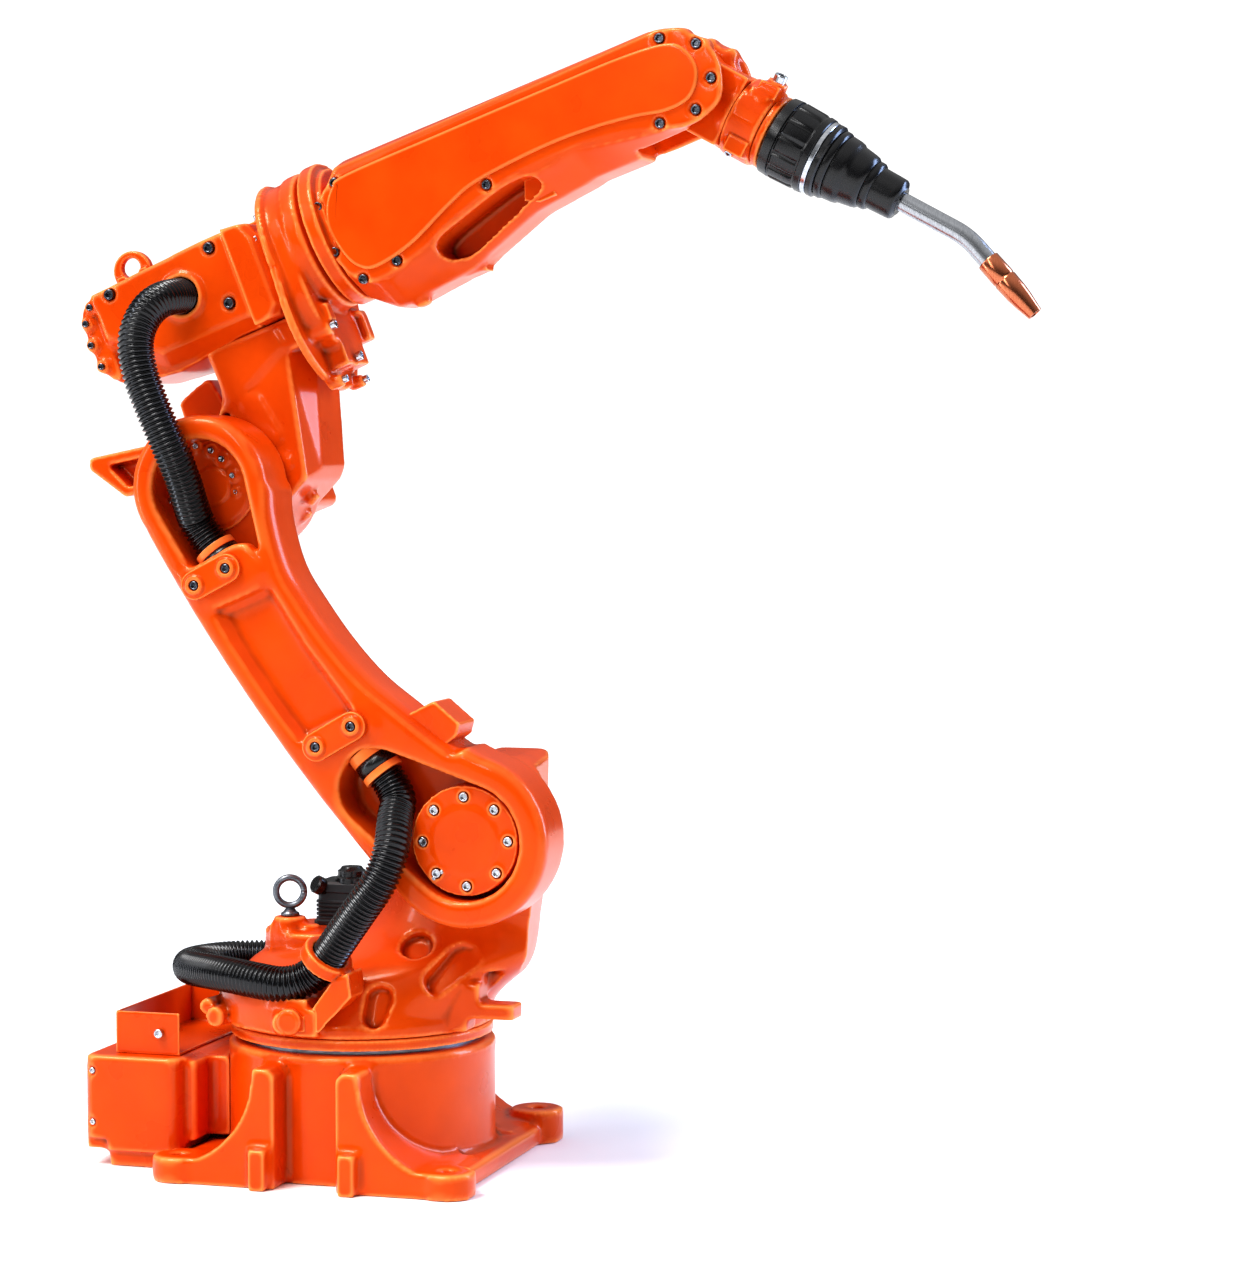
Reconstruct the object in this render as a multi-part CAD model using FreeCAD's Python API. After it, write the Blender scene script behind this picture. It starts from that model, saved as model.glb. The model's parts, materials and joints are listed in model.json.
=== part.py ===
import FreeCAD, Part
import math
import os

# Six-axis welding robot. Millimetres, +Z up, +X the way the torch points.
# The origin is on the floor, on the vertical axis that the turret turns about.

# ---- arm geometry: joint places and the stored pose
SHOULDER_OFFSET = 172.0
SHOULDER_HEIGHT = 400.0
LINK_LENGTH = 512.0
LINK_LEAN = 39.1          # the lower arm leans back from upright
ELBOW_OFFSET = 229.0      # elbow axis to forearm axis
FOREARM_REACH = 674.0     # elbow axis to wrist axis, along the forearm
FOREARM_PITCH = 21.5      # forearm above level
TORCH_PITCH = -28.3

# ---- running gaps
JOINT_GAP = 5.5           # between castings that turn past each other
BEARING_GAP = 0.3         # at the bearing between them
SEAT_GAP = 0.3

# ---- base
FOOT_PITCH = 328.0
FOOT_HEIGHT = 30.0
FOOT_RADIUS = 32.0
FOOT_HOLE_RADIUS = 9.0
DRUM_RADIUS = 157.0
DRUM_TOP = 150.0
PLATE_HEIGHT = 24.0       # edge plates between the feet, front and rear
RIB_FRONT = 26.0          # rib face in front of the foot centres
CONNECTOR_BOX = (-302.0, -182.0, 130.0, 20.0, 132.0)   # x from, x to, half width, z from, z to
TRAY_WALL = 3.0
TRAY_HEIGHT = 50.0

# ---- turret
RING_HEIGHT = 13.0
SKIRT_HEIGHT = 16.0
SHOULDER_RADIUS = 91.0
SHOULDER_FACE = -56.0     # near face of the shoulder, behind the lower arm
SHOULDER_BACK = 86.0

# ---- lower arm
ARM_NEAR = -140.0
ARM_FAR = SHOULDER_FACE - JOINT_GAP
ARM_FLOOR = -86.0         # floor of the pockets at both ends
WEB_NEAR = -126.0
LOWER_RING_RADIUS = 100.0
UPPER_RING_RADIUS = 83.0
SHOULDER_DISC_RADIUS = 63.0
ELBOW_DISC_RADIUS = 46.0
CLAMP_THICKNESS = 10.0

# ---- elbow
ELBOW_HUB_RADIUS = 78.0
FLANGE_RADIUS = 84.0
FLANGE_AT = 212.0         # where the elbow ends and the forearm starts

# ---- forearm and wrist
FOREARM_HALF_WIDTH = 70.0
BELLY_HALF_WIDTH = 28.0
FORK_RADIUS = 56.0
FORK_GAP = 43.0           # half the slot between the fork's cheeks
WRIST_HALF_WIDTH = 37.5

# ---- hose and torch
HOSE_DIAMETER = 42.0
UNION_WALL = 4.0          # union ring outside the hose
NECK_DIAMETER = 22.0
NOZZLE_DIAMETER = 25.0
NECK_BEND = 20.0

MOTOR_SEAT_TOP = 275.0
EYE_POST_TOP = 292.0
EYE_PLACE = (-78.0, -34.0)
EYE_RADIUS = 20.0
EYE_WIRE = 9.0
POCKET_DEPTH = 12.0
TURRET_POCKETS = [        # x, z, tilt, width, length on the near side
    (94.0, 270.0, 0.0, 38.0, 38.0),
    (140.0, 246.0, 35.0, 40.0, 78.0),
    (66.0, 205.0, 10.0, 30.0, 54.0),
]
GUIDE_PLACE = (14.0, -152.0, 262.0)
RIM_FILLET = 12.0
FITTING_X = -33.0         # hose unions on the lower arm
FITTING_LOW = 118.0
ELBOW_BACK = 62.0
HOUSING_BOTTOM = -74.0
HOUSING_TOP = 38.0
HOUSING_NEAR = -75.0
PORT_PLACE = (43.0, -6.0)
PORT_DEPTH = 14.0

# ---- hose centre lines, between the unions, the guide ring and the port
UPPER_BEND = [(-204, -145, 1006), (-213, -165, 972), (-205, -171, 932), (-188, -171, 890), (-171, -163, 846),
              (-162, -145, 808), (-160, -129, 778)]
LOWER_BEND = [(90, -133, 425), (98, -158, 398), (88, -169, 358), (57, -167, 318)]
LOOP_BEND = [(-34, -156, 229), (-74, -150, 233), (-118, -130, 235), (-160, -94, 232), (-200, -50, 227),
             (-222, 2, 223), (-206, 54, 222), (-164, 84, 222), (-112, 92, 222)]

V = FreeCAD.Vector
hose_radius = HOSE_DIAMETER / 2
union_radius = hose_radius + UNION_WALL
FITTING_Y = ARM_NEAR + union_radius + 2
FITTING_HIGH = LINK_LENGTH - 60


# ---- helpers
def box(x0, x1, y0, y1, z0, z1):
    return Part.makeBox(x1 - x0, y1 - y0, z1 - z0, V(x0, y0, z0))


def cylinder(radius, start, direction, length):
    return Part.makeCylinder(radius, length, V(*start), V(*direction))


def disc_y(x, z, radius, y0, y1):
    return cylinder(radius, (x, y0, z), (0, 1, 0), y1 - y0)


def disc_x(y, z, radius, x0, x1):
    return cylinder(radius, (x0, y, z), (1, 0, 0), x1 - x0)


def fuse(*shapes):
    return shapes[0].fuse(list(shapes[1:])).removeSplitter()


def outline(start, *steps):
    """A face in the XZ plane. A step is a corner (x, z), or a pair of points: an arc through one to the other."""
    here = V(start[0], 0, start[1])
    edges = []
    for step in steps:
        if isinstance(step[0], tuple):
            middle = V(step[0][0], 0, step[0][1])
            there = V(step[1][0], 0, step[1][1])
            edges.append(Part.Arc(here, middle, there).toShape())
        else:
            there = V(step[0], 0, step[1])
            edges.append(Part.makeLine(here, there))
        here = there
    first = V(start[0], 0, start[1])
    if here.distanceToPoint(first) > 1e-6:
        edges.append(Part.makeLine(here, first))
    return Part.Face(Part.Wire(edges))


def prism_y(face, y0, y1):
    moved = face.copy()
    moved.translate(V(0, y0, 0))
    return moved.extrude(V(0, y1 - y0, 0))


def hull_wire(c0, r0, c1, r1, place):
    """Two circles and the straight lines that touch both; place turns flat (u, v) into a point."""
    du = c1[0] - c0[0]
    dv = c1[1] - c0[1]
    along = math.atan2(dv, du)
    spread = math.acos((r0 - r1) / math.hypot(du, dv))

    def on(centre, radius, angle):
        return place(centre[0] + radius * math.cos(angle), centre[1] + radius * math.sin(angle))

    left = along + spread
    right = along - spread
    return Part.Wire([
        Part.Arc(on(c0, r0, left), on(c0, r0, along + math.pi), on(c0, r0, right)).toShape(),
        Part.makeLine(on(c0, r0, right), on(c1, r1, right)),
        Part.Arc(on(c1, r1, right), on(c1, r1, along), on(c1, r1, left)).toShape(),
        Part.makeLine(on(c1, r1, left), on(c0, r0, left)),
    ])


def hull_y(c0, r0, c1, r1, y0, y1):
    wire = hull_wire(c0, r0, c1, r1, lambda u, v: V(u, y0, v))
    return Part.Face(wire).extrude(V(0, y1 - y0, 0))


def hull_x(c0, r0, c1, r1, x0, x1):
    wire = hull_wire(c0, r0, c1, r1, lambda u, v: V(x0, u, v))
    return Part.Face(wire).extrude(V(x1 - x0, 0, 0))


def turned(profile, start, direction):
    """A solid of revolution: profile is (distance along, radius) pairs from start along direction."""
    points = [V(along, 0, radius) for along, radius in profile]
    points = [V(profile[0][0], 0, 0)] + points + [V(profile[-1][0], 0, 0)]
    face = Part.Face(Part.makePolygon(points + [points[0]]))
    solid = face.revolve(V(0, 0, 0), V(1, 0, 0), 360)
    solid.Placement = FreeCAD.Placement(V(*start), FreeCAD.Rotation(V(1, 0, 0), V(*direction)))
    return solid


def tube(name, points, radius):
    """A round tube along straight runs joined by tangent arcs."""
    corners = [V(*p) for p in points]
    edges = []
    radii = []
    length = 0.0
    here = corners[0]
    for before, corner, after in zip(corners, corners[1:], corners[2:]):
        run_in = corner - before
        run_out = after - corner
        half_turn = run_in.getAngle(run_out) / 2
        shorter = min(run_in.Length, run_out.Length)
        reach = 0.45 * shorter
        bend = reach / math.tan(half_turn)
        radii.append(bend)
        run_in.normalize()
        run_out.normalize()
        arc_start = corner - run_in * reach
        arc_end = corner + run_out * reach
        inward = run_out - run_in
        inward.normalize()
        centre = corner + inward * (bend / math.cos(half_turn))
        middle = centre - inward * bend
        edges.append(Part.makeLine(here, arc_start))
        edges.append(Part.Arc(arc_start, middle, arc_end).toShape())
        length += here.distanceToPoint(arc_start) + bend * 2 * half_turn
        here = arc_end
    edges.append(Part.makeLine(here, corners[-1]))
    length += here.distanceToPoint(corners[-1])
    path = Part.Wire(edges)
    ring = Part.Wire([Part.makeCircle(radius, corners[0], corners[1] - corners[0])])
    solid = path.makePipeShell([ring], True, False)
    wanted = math.pi * radius ** 2 * length
    print(f"{name}: length {length:.0f}, radii " + " ".join(f"{r:.0f}" for r in radii)
          + f", volume {solid.Volume / wanted:.4f} of section times length")
    return solid


def placed(shape, x, z, pitch):
    """Moves a shape from its own frame to its place: pitched up about Y, then carried to x, z."""
    moved = shape.copy()
    moved.Placement = FreeCAD.Placement(V(x, 0, z), FreeCAD.Rotation(V(0, 1, 0), -pitch)).multiply(shape.Placement)
    return moved


def on_link(shape):
    """From the lower arm's frame: origin at the shoulder axis, Z up the arm."""
    return placed(shape, SHOULDER_OFFSET, SHOULDER_HEIGHT, LINK_LEAN)


lean = math.radians(LINK_LEAN)
pitch = math.radians(FOREARM_PITCH)
elbow_x = SHOULDER_OFFSET - LINK_LENGTH * math.sin(lean)
elbow_z = SHOULDER_HEIGHT + LINK_LENGTH * math.cos(lean)
forearm_x = elbow_x - ELBOW_OFFSET * math.sin(pitch)
forearm_z = elbow_z + ELBOW_OFFSET * math.cos(pitch)
wrist_x = forearm_x + FOREARM_REACH * math.cos(pitch)
wrist_z = forearm_z + FOREARM_REACH * math.sin(pitch)


def on_forearm(shape):
    """From the forearm's frame: X along the forearm axis, origin above the elbow axis."""
    return placed(shape, forearm_x, forearm_z, FOREARM_PITCH)


def on_torch(shape):
    """From the torch's frame: origin at the wrist axis, X along the torch."""
    return placed(shape, wrist_x, wrist_z, TORCH_PITCH)


# ---- base
def base_casting():
    half = FOOT_PITCH / 2
    drum = cylinder(DRUM_RADIUS, (0, 0, 0), (0, 0, 1), DRUM_TOP)
    drum = drum.makeFillet(4, [e for e in drum.Edges if abs(e.BoundBox.ZMin - DRUM_TOP) < 1 and len(e.Vertexes) == 1])
    rib_top = DRUM_TOP - 12
    rib = outline((37, 0), (37, rib_top - 8), (45, rib_top), (66, rib_top),
                  ((86, 68), (half - FOOT_RADIUS + 2, FOOT_HEIGHT)), (half, FOOT_HEIGHT - 2), (half, 0))
    front = half + RIB_FRONT
    ribs = prism_y(rib, -front, -70)
    block = box(43, 66, -front - 13, -front, 0, 47)
    quarter = ribs.fuse([block])
    mirrored = quarter.mirror(V(0, 0, 0), V(1, 0, 0))
    near = quarter.fuse([mirrored])
    far = near.mirror(V(0, 0, 0), V(0, 1, 0))
    plates = [box(100, half + 14, -half, half, 0, PLATE_HEIGHT), box(-half - 14, -100, -half, half, 0, PLATE_HEIGHT)]
    pads = []
    for sx in (-1, 1):
        for sy in (-1, 1):
            height = FOOT_HEIGHT + (11 if sx > 0 and sy > 0 else 0)
            pads.append(cylinder(FOOT_RADIUS, (sx * half, sy * half, 0), (0, 0, 1), height))
    body = fuse(drum, near, far, *plates, *pads)
    for sx in (-1, 1):
        for sy in (-1, 1):
            body = body.cut(cylinder(FOOT_HOLE_RADIUS, (sx * half, sy * half, -1), (0, 0, 1), FOOT_HEIGHT + 20))
    return body


def connector_box():
    x0, x1, half, z0, z1 = CONNECTOR_BOX
    shell = box(x0, x1, -half, half, z0, z1)
    upright = [e for e in shell.Edges if abs(e.BoundBox.ZLength) > 50]
    shell = shell.makeFillet(14, upright)
    neck = box(x1 - 1, -105, -half + 18, half - 18, z0 + 12, z1 - 5)
    pad = box(x0 + 28, x1 - 22, -half + 8, half - 8, 0, z0)
    body = fuse(shell, neck, pad)
    return body.cut(cylinder(DRUM_RADIUS + SEAT_GAP, (0, 0, -1), (0, 0, 1), 300)).cut(
        box(-FOOT_PITCH / 2 - 14 - SEAT_GAP, 0, -300, 300, 0, PLATE_HEIGHT + SEAT_GAP)).cut(feet_keepout())


def feet_keepout():
    """Room around the two rear feet, so that the box's neck clears them."""
    half = FOOT_PITCH / 2
    pads = [cylinder(FOOT_RADIUS + 1, (-half, side * half, -1), (0, 0, 1), FOOT_HEIGHT + 60) for side in (-1, 1)]
    front = half + RIB_FRONT
    return pads[0].fuse([pads[1]]).fuse([box(-half - 3, -30, 69, front, 0, 140), box(-half - 3, -30, -front, -69, 0, 140)])


def cable_tray():
    x0, x1, half, _, z1 = CONNECTOR_BOX
    x0, x1, half = x0 + 33, x1 - 6, half - 20
    top = z1 + TRAY_HEIGHT
    w = TRAY_WALL
    floor = box(x0, x1, -half, half, z1 + SEAT_GAP, z1 + SEAT_GAP + w)
    near = box(x0, x1, -half, -half + w, z1 + SEAT_GAP, top)
    far = box(x0, x1, half - w, half, z1 + SEAT_GAP, top)
    rear = box(x0, x0 + w, -half, half, z1 + SEAT_GAP, top)
    return fuse(floor, near, far, rear)


def rear_panel():
    x0, _, half, z0, z1 = CONNECTOR_BOX
    plate = box(x0 - 4, x0 - SEAT_GAP, -half + 20, half - 20, z0 + 10, z1 - 10)
    parts = [plate]
    for y in (-70, -25, 25, 70):
        parts.append(cylinder(17, (x0 - 4, y, (z0 + z1) / 2), (-1, 0, 0), 26))
    return fuse(*parts)


def slew_bearing():
    return cylinder(DRUM_RADIUS - 14, (0, 0, DRUM_TOP), (0, 0, 1), JOINT_GAP - BEARING_GAP)


# ---- turret
turret_bottom = DRUM_TOP + JOINT_GAP
skirt_bottom = turret_bottom + RING_HEIGHT


def turret_ring():
    return cylinder(DRUM_RADIUS - 2, (0, 0, turret_bottom), (0, 0, 1), RING_HEIGHT)


def ellipse_wire(x, y, z, rx, ry):
    if rx >= ry:
        curve = Part.Ellipse(V(x + rx, y, z), V(x, y + ry, z), V(x, y, z))
    else:
        curve = Part.Ellipse(V(x, y + ry, z), V(x - rx, y, z), V(x, y, z))
    return Part.Wire([curve.toShape()])


def turret_neck():
    """The body that rises and leans from the round skirt to the shoulder."""
    top = skirt_bottom + SKIRT_HEIGHT
    rise = SHOULDER_HEIGHT - top
    return Part.makeLoft([
        ellipse_wire(0, 0, top, DRUM_RADIUS - 2, DRUM_RADIUS - 3),
        ellipse_wire(12, 0, top + rise * 0.12, DRUM_RADIUS + 3, DRUM_RADIUS - 19),
        ellipse_wire(50, 6, top + rise * 0.30, DRUM_RADIUS + 11, DRUM_RADIUS - 49),
        ellipse_wire(108, 14, top + rise * 0.46, SHOULDER_RADIUS + 31, SHOULDER_RADIUS - 16),
        ellipse_wire(134, 16, top + rise * 0.62, SHOULDER_RADIUS + 13, SHOULDER_RADIUS - 25),
        ellipse_wire(SHOULDER_OFFSET - 6, 16, top + rise * 0.88, SHOULDER_RADIUS - 5, SHOULDER_RADIUS - 25),
    ], True, False)


def turret_casting():
    top = skirt_bottom + SKIRT_HEIGHT
    skirt = cylinder(DRUM_RADIUS - 1, (0, 0, skirt_bottom), (0, 0, 1), SKIRT_HEIGHT)
    neck = turret_neck()
    shoulder = disc_y(SHOULDER_OFFSET, SHOULDER_HEIGHT, SHOULDER_RADIUS, SHOULDER_FACE, SHOULDER_BACK)
    bearing = disc_y(SHOULDER_OFFSET, SHOULDER_HEIGHT, SHOULDER_DISC_RADIUS, ARM_FAR + BEARING_GAP, SHOULDER_FACE)
    motor_seat = cylinder(72, (-50, 10, top), (0, 0, 1), MOTOR_SEAT_TOP - top)
    eye_post = cylinder(19, (*EYE_PLACE, top), (0, 0, 1), EYE_POST_TOP - top)
    tray_top = CONNECTOR_BOX[4] + TRAY_HEIGHT
    lug = box(140, 214, -80, -44, tray_top + 6, skirt_bottom + 60)
    lug = lug.fuse([box(130, 157, -80, -44, skirt_bottom + 3, tray_top + 7)])
    body = fuse(skirt, neck, shoulder, bearing, motor_seat, eye_post, lug)
    body = body.cut(box(-100, -8, -4, 100, MOTOR_SEAT_TOP, SHOULDER_HEIGHT))
    entry = V(*LOOP_BEND[-1]) - V(*LOOP_BEND[-2])
    body = body.cut(Part.makeCylinder(hose_radius + SEAT_GAP, entry.Length + SEAT_GAP, V(*LOOP_BEND[-2]), entry))
    for x, z, tilt, width, length in TURRET_POCKETS:
        body = body.cut(pocket_tool(neck, x, z, tilt, width, length))
    return body


def pocket_tool(surface, x, z, tilt, width, length):
    """A rounded slot sunk POCKET_DEPTH into the near side of a curved surface at x, z."""
    ray = Part.makeLine(V(x, -400, z), V(x, 0, z))
    hit = min((v.Point.y for v in surface.common(ray).Vertexes))
    over = Part.makeLine(V(x, -400, z + 10), V(x, 0, z + 10))
    higher = min((v.Point.y for v in surface.common(over).Vertexes))
    slope = math.degrees(math.atan2(higher - hit, 10))
    run = length - width
    if run > 0:
        wire = hull_wire((0, -run / 2), width / 2 * 0.8, (0, run / 2), width / 2, lambda u, v: V(u, 0, v))
    else:
        wire = Part.Wire([Part.makeCircle(width / 2, V(0, 0, 0), V(0, 1, 0))])
    tool = Part.Face(wire).extrude(V(0, 60, 0))
    tool.translate(V(0, -60 + POCKET_DEPTH, 0))
    turn = FreeCAD.Rotation(V(1, 0, 0), -slope).multiply(FreeCAD.Rotation(V(0, 1, 0), tilt))
    tool.Placement = FreeCAD.Placement(V(x, hit, z), turn).multiply(tool.Placement)
    return tool


def cable_shelf():
    """The curved housing that hugs the skirt between the torch side and the rear."""
    z0 = skirt_bottom + 5
    z1 = z0 + 32
    outer = cylinder(DRUM_RADIUS + 12, (0, 0, z0), (0, 0, 1), z1 - z0)
    inner = cylinder(DRUM_RADIUS - 1 + SEAT_GAP, (0, 0, z0 - 1), (0, 0, 1), z1 - z0 + 2)
    corners = [(0, 0), (-400, 120), (-400, -400), (20, -400), (0, 0)]
    wedge = Part.Face(Part.makePolygon([V(x, y, z0) for x, y in corners]))
    return outer.cut(inner).common(wedge.extrude(V(0, 0, z1 - z0)))


def guide_direction():
    """The way the hose leaves the guide ring upwards."""
    return (V(*LOWER_BEND[-1]) - V(*GUIDE_PLACE)).normalize()


def hose_guide():
    """A split ring round the hose on a short arm that stands on the shelf's near side."""
    x, y, z = GUIDE_PLACE
    along = guide_direction()
    centre = V(x, y, z)
    ring = Part.makeCylinder(hose_radius + 10, 16, centre - along * 8, along)
    foot = cylinder(15, (x - 38, -DRUM_RADIUS - 20, skirt_bottom + 23), (0, 1, 0), 56)
    low = skirt_bottom + 10
    arm = prism_y(outline((x - 50, low + 14), (x - 38, low), (x - 4, low), (x + 36, z - 40), (x + 32, z - 12),
                          (x + 10, z - 26), (x - 16, low + 22)), y - 18, y + 30)
    hole = Part.makeCylinder(hose_radius + SEAT_GAP, 60, centre - along * 30, along)
    body = fuse(ring, arm, foot).cut(hole).cut(turret_neck())
    return body.cut(cylinder(DRUM_RADIUS + 12 + SEAT_GAP, (0, 0, 0), (0, 0, 1), skirt_bottom + 37 + SEAT_GAP))


def eye_bolt():
    x, y = EYE_PLACE
    centre = (x, y, EYE_POST_TOP + SEAT_GAP + EYE_WIRE / 2 + EYE_RADIUS)
    ring = Part.makeTorus(EYE_RADIUS, EYE_WIRE / 2, V(*centre), V(0.35, 0.94, 0))
    collar = cylinder(9, (x, y, EYE_POST_TOP + SEAT_GAP), (0, 0, 1), 7)
    return ring.fuse([collar])


def turret_motor():
    """The slewing motor, upright on its seat, with its plug housing."""
    z = MOTOR_SEAT_TOP + SEAT_GAP
    plate = box(-92, -14, 6, 84, z, z + 8)
    can = box(-88, -18, 10, 80, z + 8, z + 74)
    can = can.makeFillet(10, [e for e in can.Edges if e.BoundBox.ZLength > 50])
    cap = box(-84, -22, 14, 76, z + 74, z + 84)
    plug = box(-70, -38, -12, 12, z + 38, z + 66)
    return fuse(plate, can, cap, plug)


def shoulder_gearcase():
    """Far side of the shoulder: reducer housing with a bolted flange."""
    y = SHOULDER_BACK + SEAT_GAP
    flange = disc_y(SHOULDER_OFFSET, SHOULDER_HEIGHT, SHOULDER_RADIUS - 6, y, y + 12)
    drum = disc_y(SHOULDER_OFFSET, SHOULDER_HEIGHT, SHOULDER_RADIUS - 20, y + 12, y + 34)
    return fuse(flange, drum)


def shoulder_motor():
    y = SHOULDER_BACK + SEAT_GAP + 34 + SEAT_GAP
    x, z = SHOULDER_OFFSET, SHOULDER_HEIGHT
    body = box(x - 45, x + 45, y, y + 96, z - 45, z + 45)
    body = body.makeFillet(12, [e for e in body.Edges if e.BoundBox.YLength > 50])
    end = box(x - 40, x + 40, y + 96, y + 108, z - 40, z + 40)
    plug = box(x - 22, x + 22, y + 30, y + 62, z + 45, z + 68)
    return fuse(body, end, plug)


# ---- lower arm, in its own frame
def arm_casting():
    link = LINK_LENGTH
    big = LOWER_RING_RADIUS
    small = UPPER_RING_RADIUS
    body = fuse(
        prism_y(outline((-big, 0), ((-big - 6, link * 0.42), (-small + 2, link)), (small, link),
                        ((small - 18, link * 0.84), (42, link * 0.66)), (40, link * 0.40),
                        ((58, link * 0.22), (big - 8, 38)), (big - 8, 0)), ARM_NEAR, ARM_FAR),
        disc_y(0, 0, big, ARM_NEAR, ARM_FAR),
        disc_y(3, link, small, ARM_NEAR, ARM_FAR))
    rims = [e for e in body.Edges if abs(e.BoundBox.YMin - ARM_NEAR) < 0.1 and abs(e.BoundBox.YMax - ARM_NEAR) < 0.1]
    body = body.makeFillet(RIM_FILLET, rims)
    low = hull_y((0, -1), SHOULDER_DISC_RADIUS + 4.5, (-43, 108), 46, ARM_NEAR - 1, ARM_FLOOR)
    high = hull_y((3, link - 2), 57, (-20, link * 0.845), 44, ARM_NEAR - 1, ARM_FLOOR)
    web = prism_y(outline((-70, link * 0.40), (-60, link * 0.48), (-62, link * 0.64), (-70, link * 0.76),
                          (6, link * 0.76), (0, link * 0.66), (-2, link * 0.56), (-10, link * 0.40)),
                  ARM_NEAR - 1, WEB_NEAR)
    bore = cylinder(union_radius + SEAT_GAP, (FITTING_X, FITTING_Y, FITTING_LOW + 2), (0, 0, 1), FITTING_HIGH - FITTING_LOW - 4)
    body = body.cut(low).cut(high).cut(web).cut(bore)
    slab = prism_y(outline((-70, link * 0.40), (-60, link * 0.48), (-62, link * 0.64), (-70, link * 0.76),
                           (6, link * 0.76), (0, link * 0.66), (-2, link * 0.56), (-10, link * 0.40)),
                   WEB_NEAR, WEB_NEAR + 6)
    stop = prism_y(outline((30, 96), (84, 104), (76, 146), (50, 166), (26, 160)), -118, ARM_FAR)
    return fuse(body, slab, stop)


def shoulder_disc():
    y = ARM_FLOOR - SEAT_GAP
    disc = disc_y(0, 0, SHOULDER_DISC_RADIUS, WEB_NEAR, y)
    cap = disc_y(0, 0, SHOULDER_DISC_RADIUS * 0.62, WEB_NEAR - 1.2, WEB_NEAR)
    return fuse(disc, cap)


def elbow_disc():
    y = ARM_FLOOR - SEAT_GAP
    disc = disc_y(3, LINK_LENGTH, ELBOW_DISC_RADIUS, ARM_FLOOR - 5, y)
    cap = disc_y(3, LINK_LENGTH, ELBOW_DISC_RADIUS * 0.45, ARM_FLOOR - 7, ARM_FLOOR - 5)
    return fuse(disc, cap)


def clamp(centre_x, centre_z, width, height, turn):
    plate = hull_y((centre_x - width / 2 + height / 2, centre_z), height / 2,
                   (centre_x + width / 2 - height / 2, centre_z), height / 2,
                   ARM_NEAR - CLAMP_THICKNESS, ARM_NEAR - SEAT_GAP)
    plate.rotate(V(centre_x, 0, centre_z), V(0, 1, 0), turn)
    return plate


def clamp_lower():
    return clamp(-42, 185, 88, 36, 9)


def clamp_upper():
    return clamp(-40, LINK_LENGTH - 92, 84, 40, 13)


def fitting(z, way):
    """A banded union on the hose: ring, groove, ring. way is +1 or -1 along the arm."""
    neck = hose_radius + 1.5
    ring = [(0, union_radius), (12, union_radius), (12, neck), (26, neck), (26, union_radius), (38, union_radius)]
    return turned(ring, (FITTING_X, FITTING_Y, z), (0, 0, way))


def fitting_lower():
    return fitting(FITTING_LOW, 1)


def fitting_upper():
    return fitting(FITTING_HIGH, -1)


# ---- elbow, in the forearm's frame
def elbow_casting():
    hub_z = -ELBOW_OFFSET
    hub = disc_y(0, hub_z, ELBOW_HUB_RADIUS, SHOULDER_FACE, ELBOW_BACK)
    bearing = disc_y(0, hub_z, ELBOW_DISC_RADIUS, ARM_FAR + BEARING_GAP, SHOULDER_FACE)
    web = prism_y(outline((38, HOUSING_BOTTOM - SEAT_GAP), (40, -112), ((24, -150), (-30, hub_z + 70)), (0, hub_z),
                          (60, hub_z - 48), (108, hub_z - 26), (146, -135), (158, -96), (158, HOUSING_BOTTOM - SEAT_GAP)),
                  SHOULDER_FACE, ELBOW_BACK)
    corners = [e for e in web.Edges if e.BoundBox.YLength > 50 and e.BoundBox.ZMax < -100 and e.BoundBox.XMin > 90]
    web = web.makeChamfer(9, corners)
    return fuse(hub, bearing, web)


def rear_housing():
    near = HOUSING_NEAR
    far = 70
    shape = prism_y(outline((-66, HOUSING_TOP), (-66, -34), (-10, HOUSING_BOTTOM), (118, HOUSING_BOTTOM), (118, 45),
                            (86, 45)), near, far)
    low = [e for e in shape.Edges if abs(e.BoundBox.YMax - near) < 0.1 and e.BoundBox.ZMax < -20]
    shape = shape.makeChamfer(16, low)
    socket = disc_y(*PORT_PLACE, hose_radius + 6, near - 5, near)
    hole = disc_y(*PORT_PLACE, hose_radius + SEAT_GAP, near - 6, near + PORT_DEPTH)
    return fuse(shape, socket).cut(hole)


def rear_cap():
    shape = prism_y(outline((-66 - SEAT_GAP, 34), (-86, 26), (-92, 10), (-88, -22), (-66 - SEAT_GAP, -34)), -66, 60)
    return shape


def collar_block():
    shape = prism_y(outline((118 + SEAT_GAP, 46), (150, 42), (158, 24), (158, -62), (148, -72),
                            (118 + SEAT_GAP, HOUSING_BOTTOM)), -85, 80)
    return shape.makeChamfer(8, [e for e in shape.Edges if e.BoundBox.YLength < 1 and e.BoundBox.XMin > 140])


def wrist_drive():
    """Reducer housing that carries the forearm: an oblong rim, a body and the round nose."""
    x0 = 158 + SEAT_GAP
    rim = hull_x((0, 0), FLANGE_RADIUS - 4, (0, -79), 92, x0, x0 + 10)
    middle = hull_x((0, 0), FLANGE_RADIUS - 4, (0, -52), 80, x0 + 10, x0 + 34)
    nose = disc_x(0, 0, FLANGE_RADIUS, x0 + 34, FLANGE_AT)
    pin = disc_x(0, 0, FLANGE_RADIUS - 16, FLANGE_AT, FLANGE_AT + JOINT_GAP - BEARING_GAP)
    lug = box(x0 + 10, x0 + 46, -34, 34, -150, -100)
    body = fuse(rim, middle, nose, pin, lug)
    return body.cut(elbow_keepout())


def elbow_keepout():
    return prism_y(outline((158, -300), (158, 0), (0, 0), (0, -300)), -200, 200)


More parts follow.
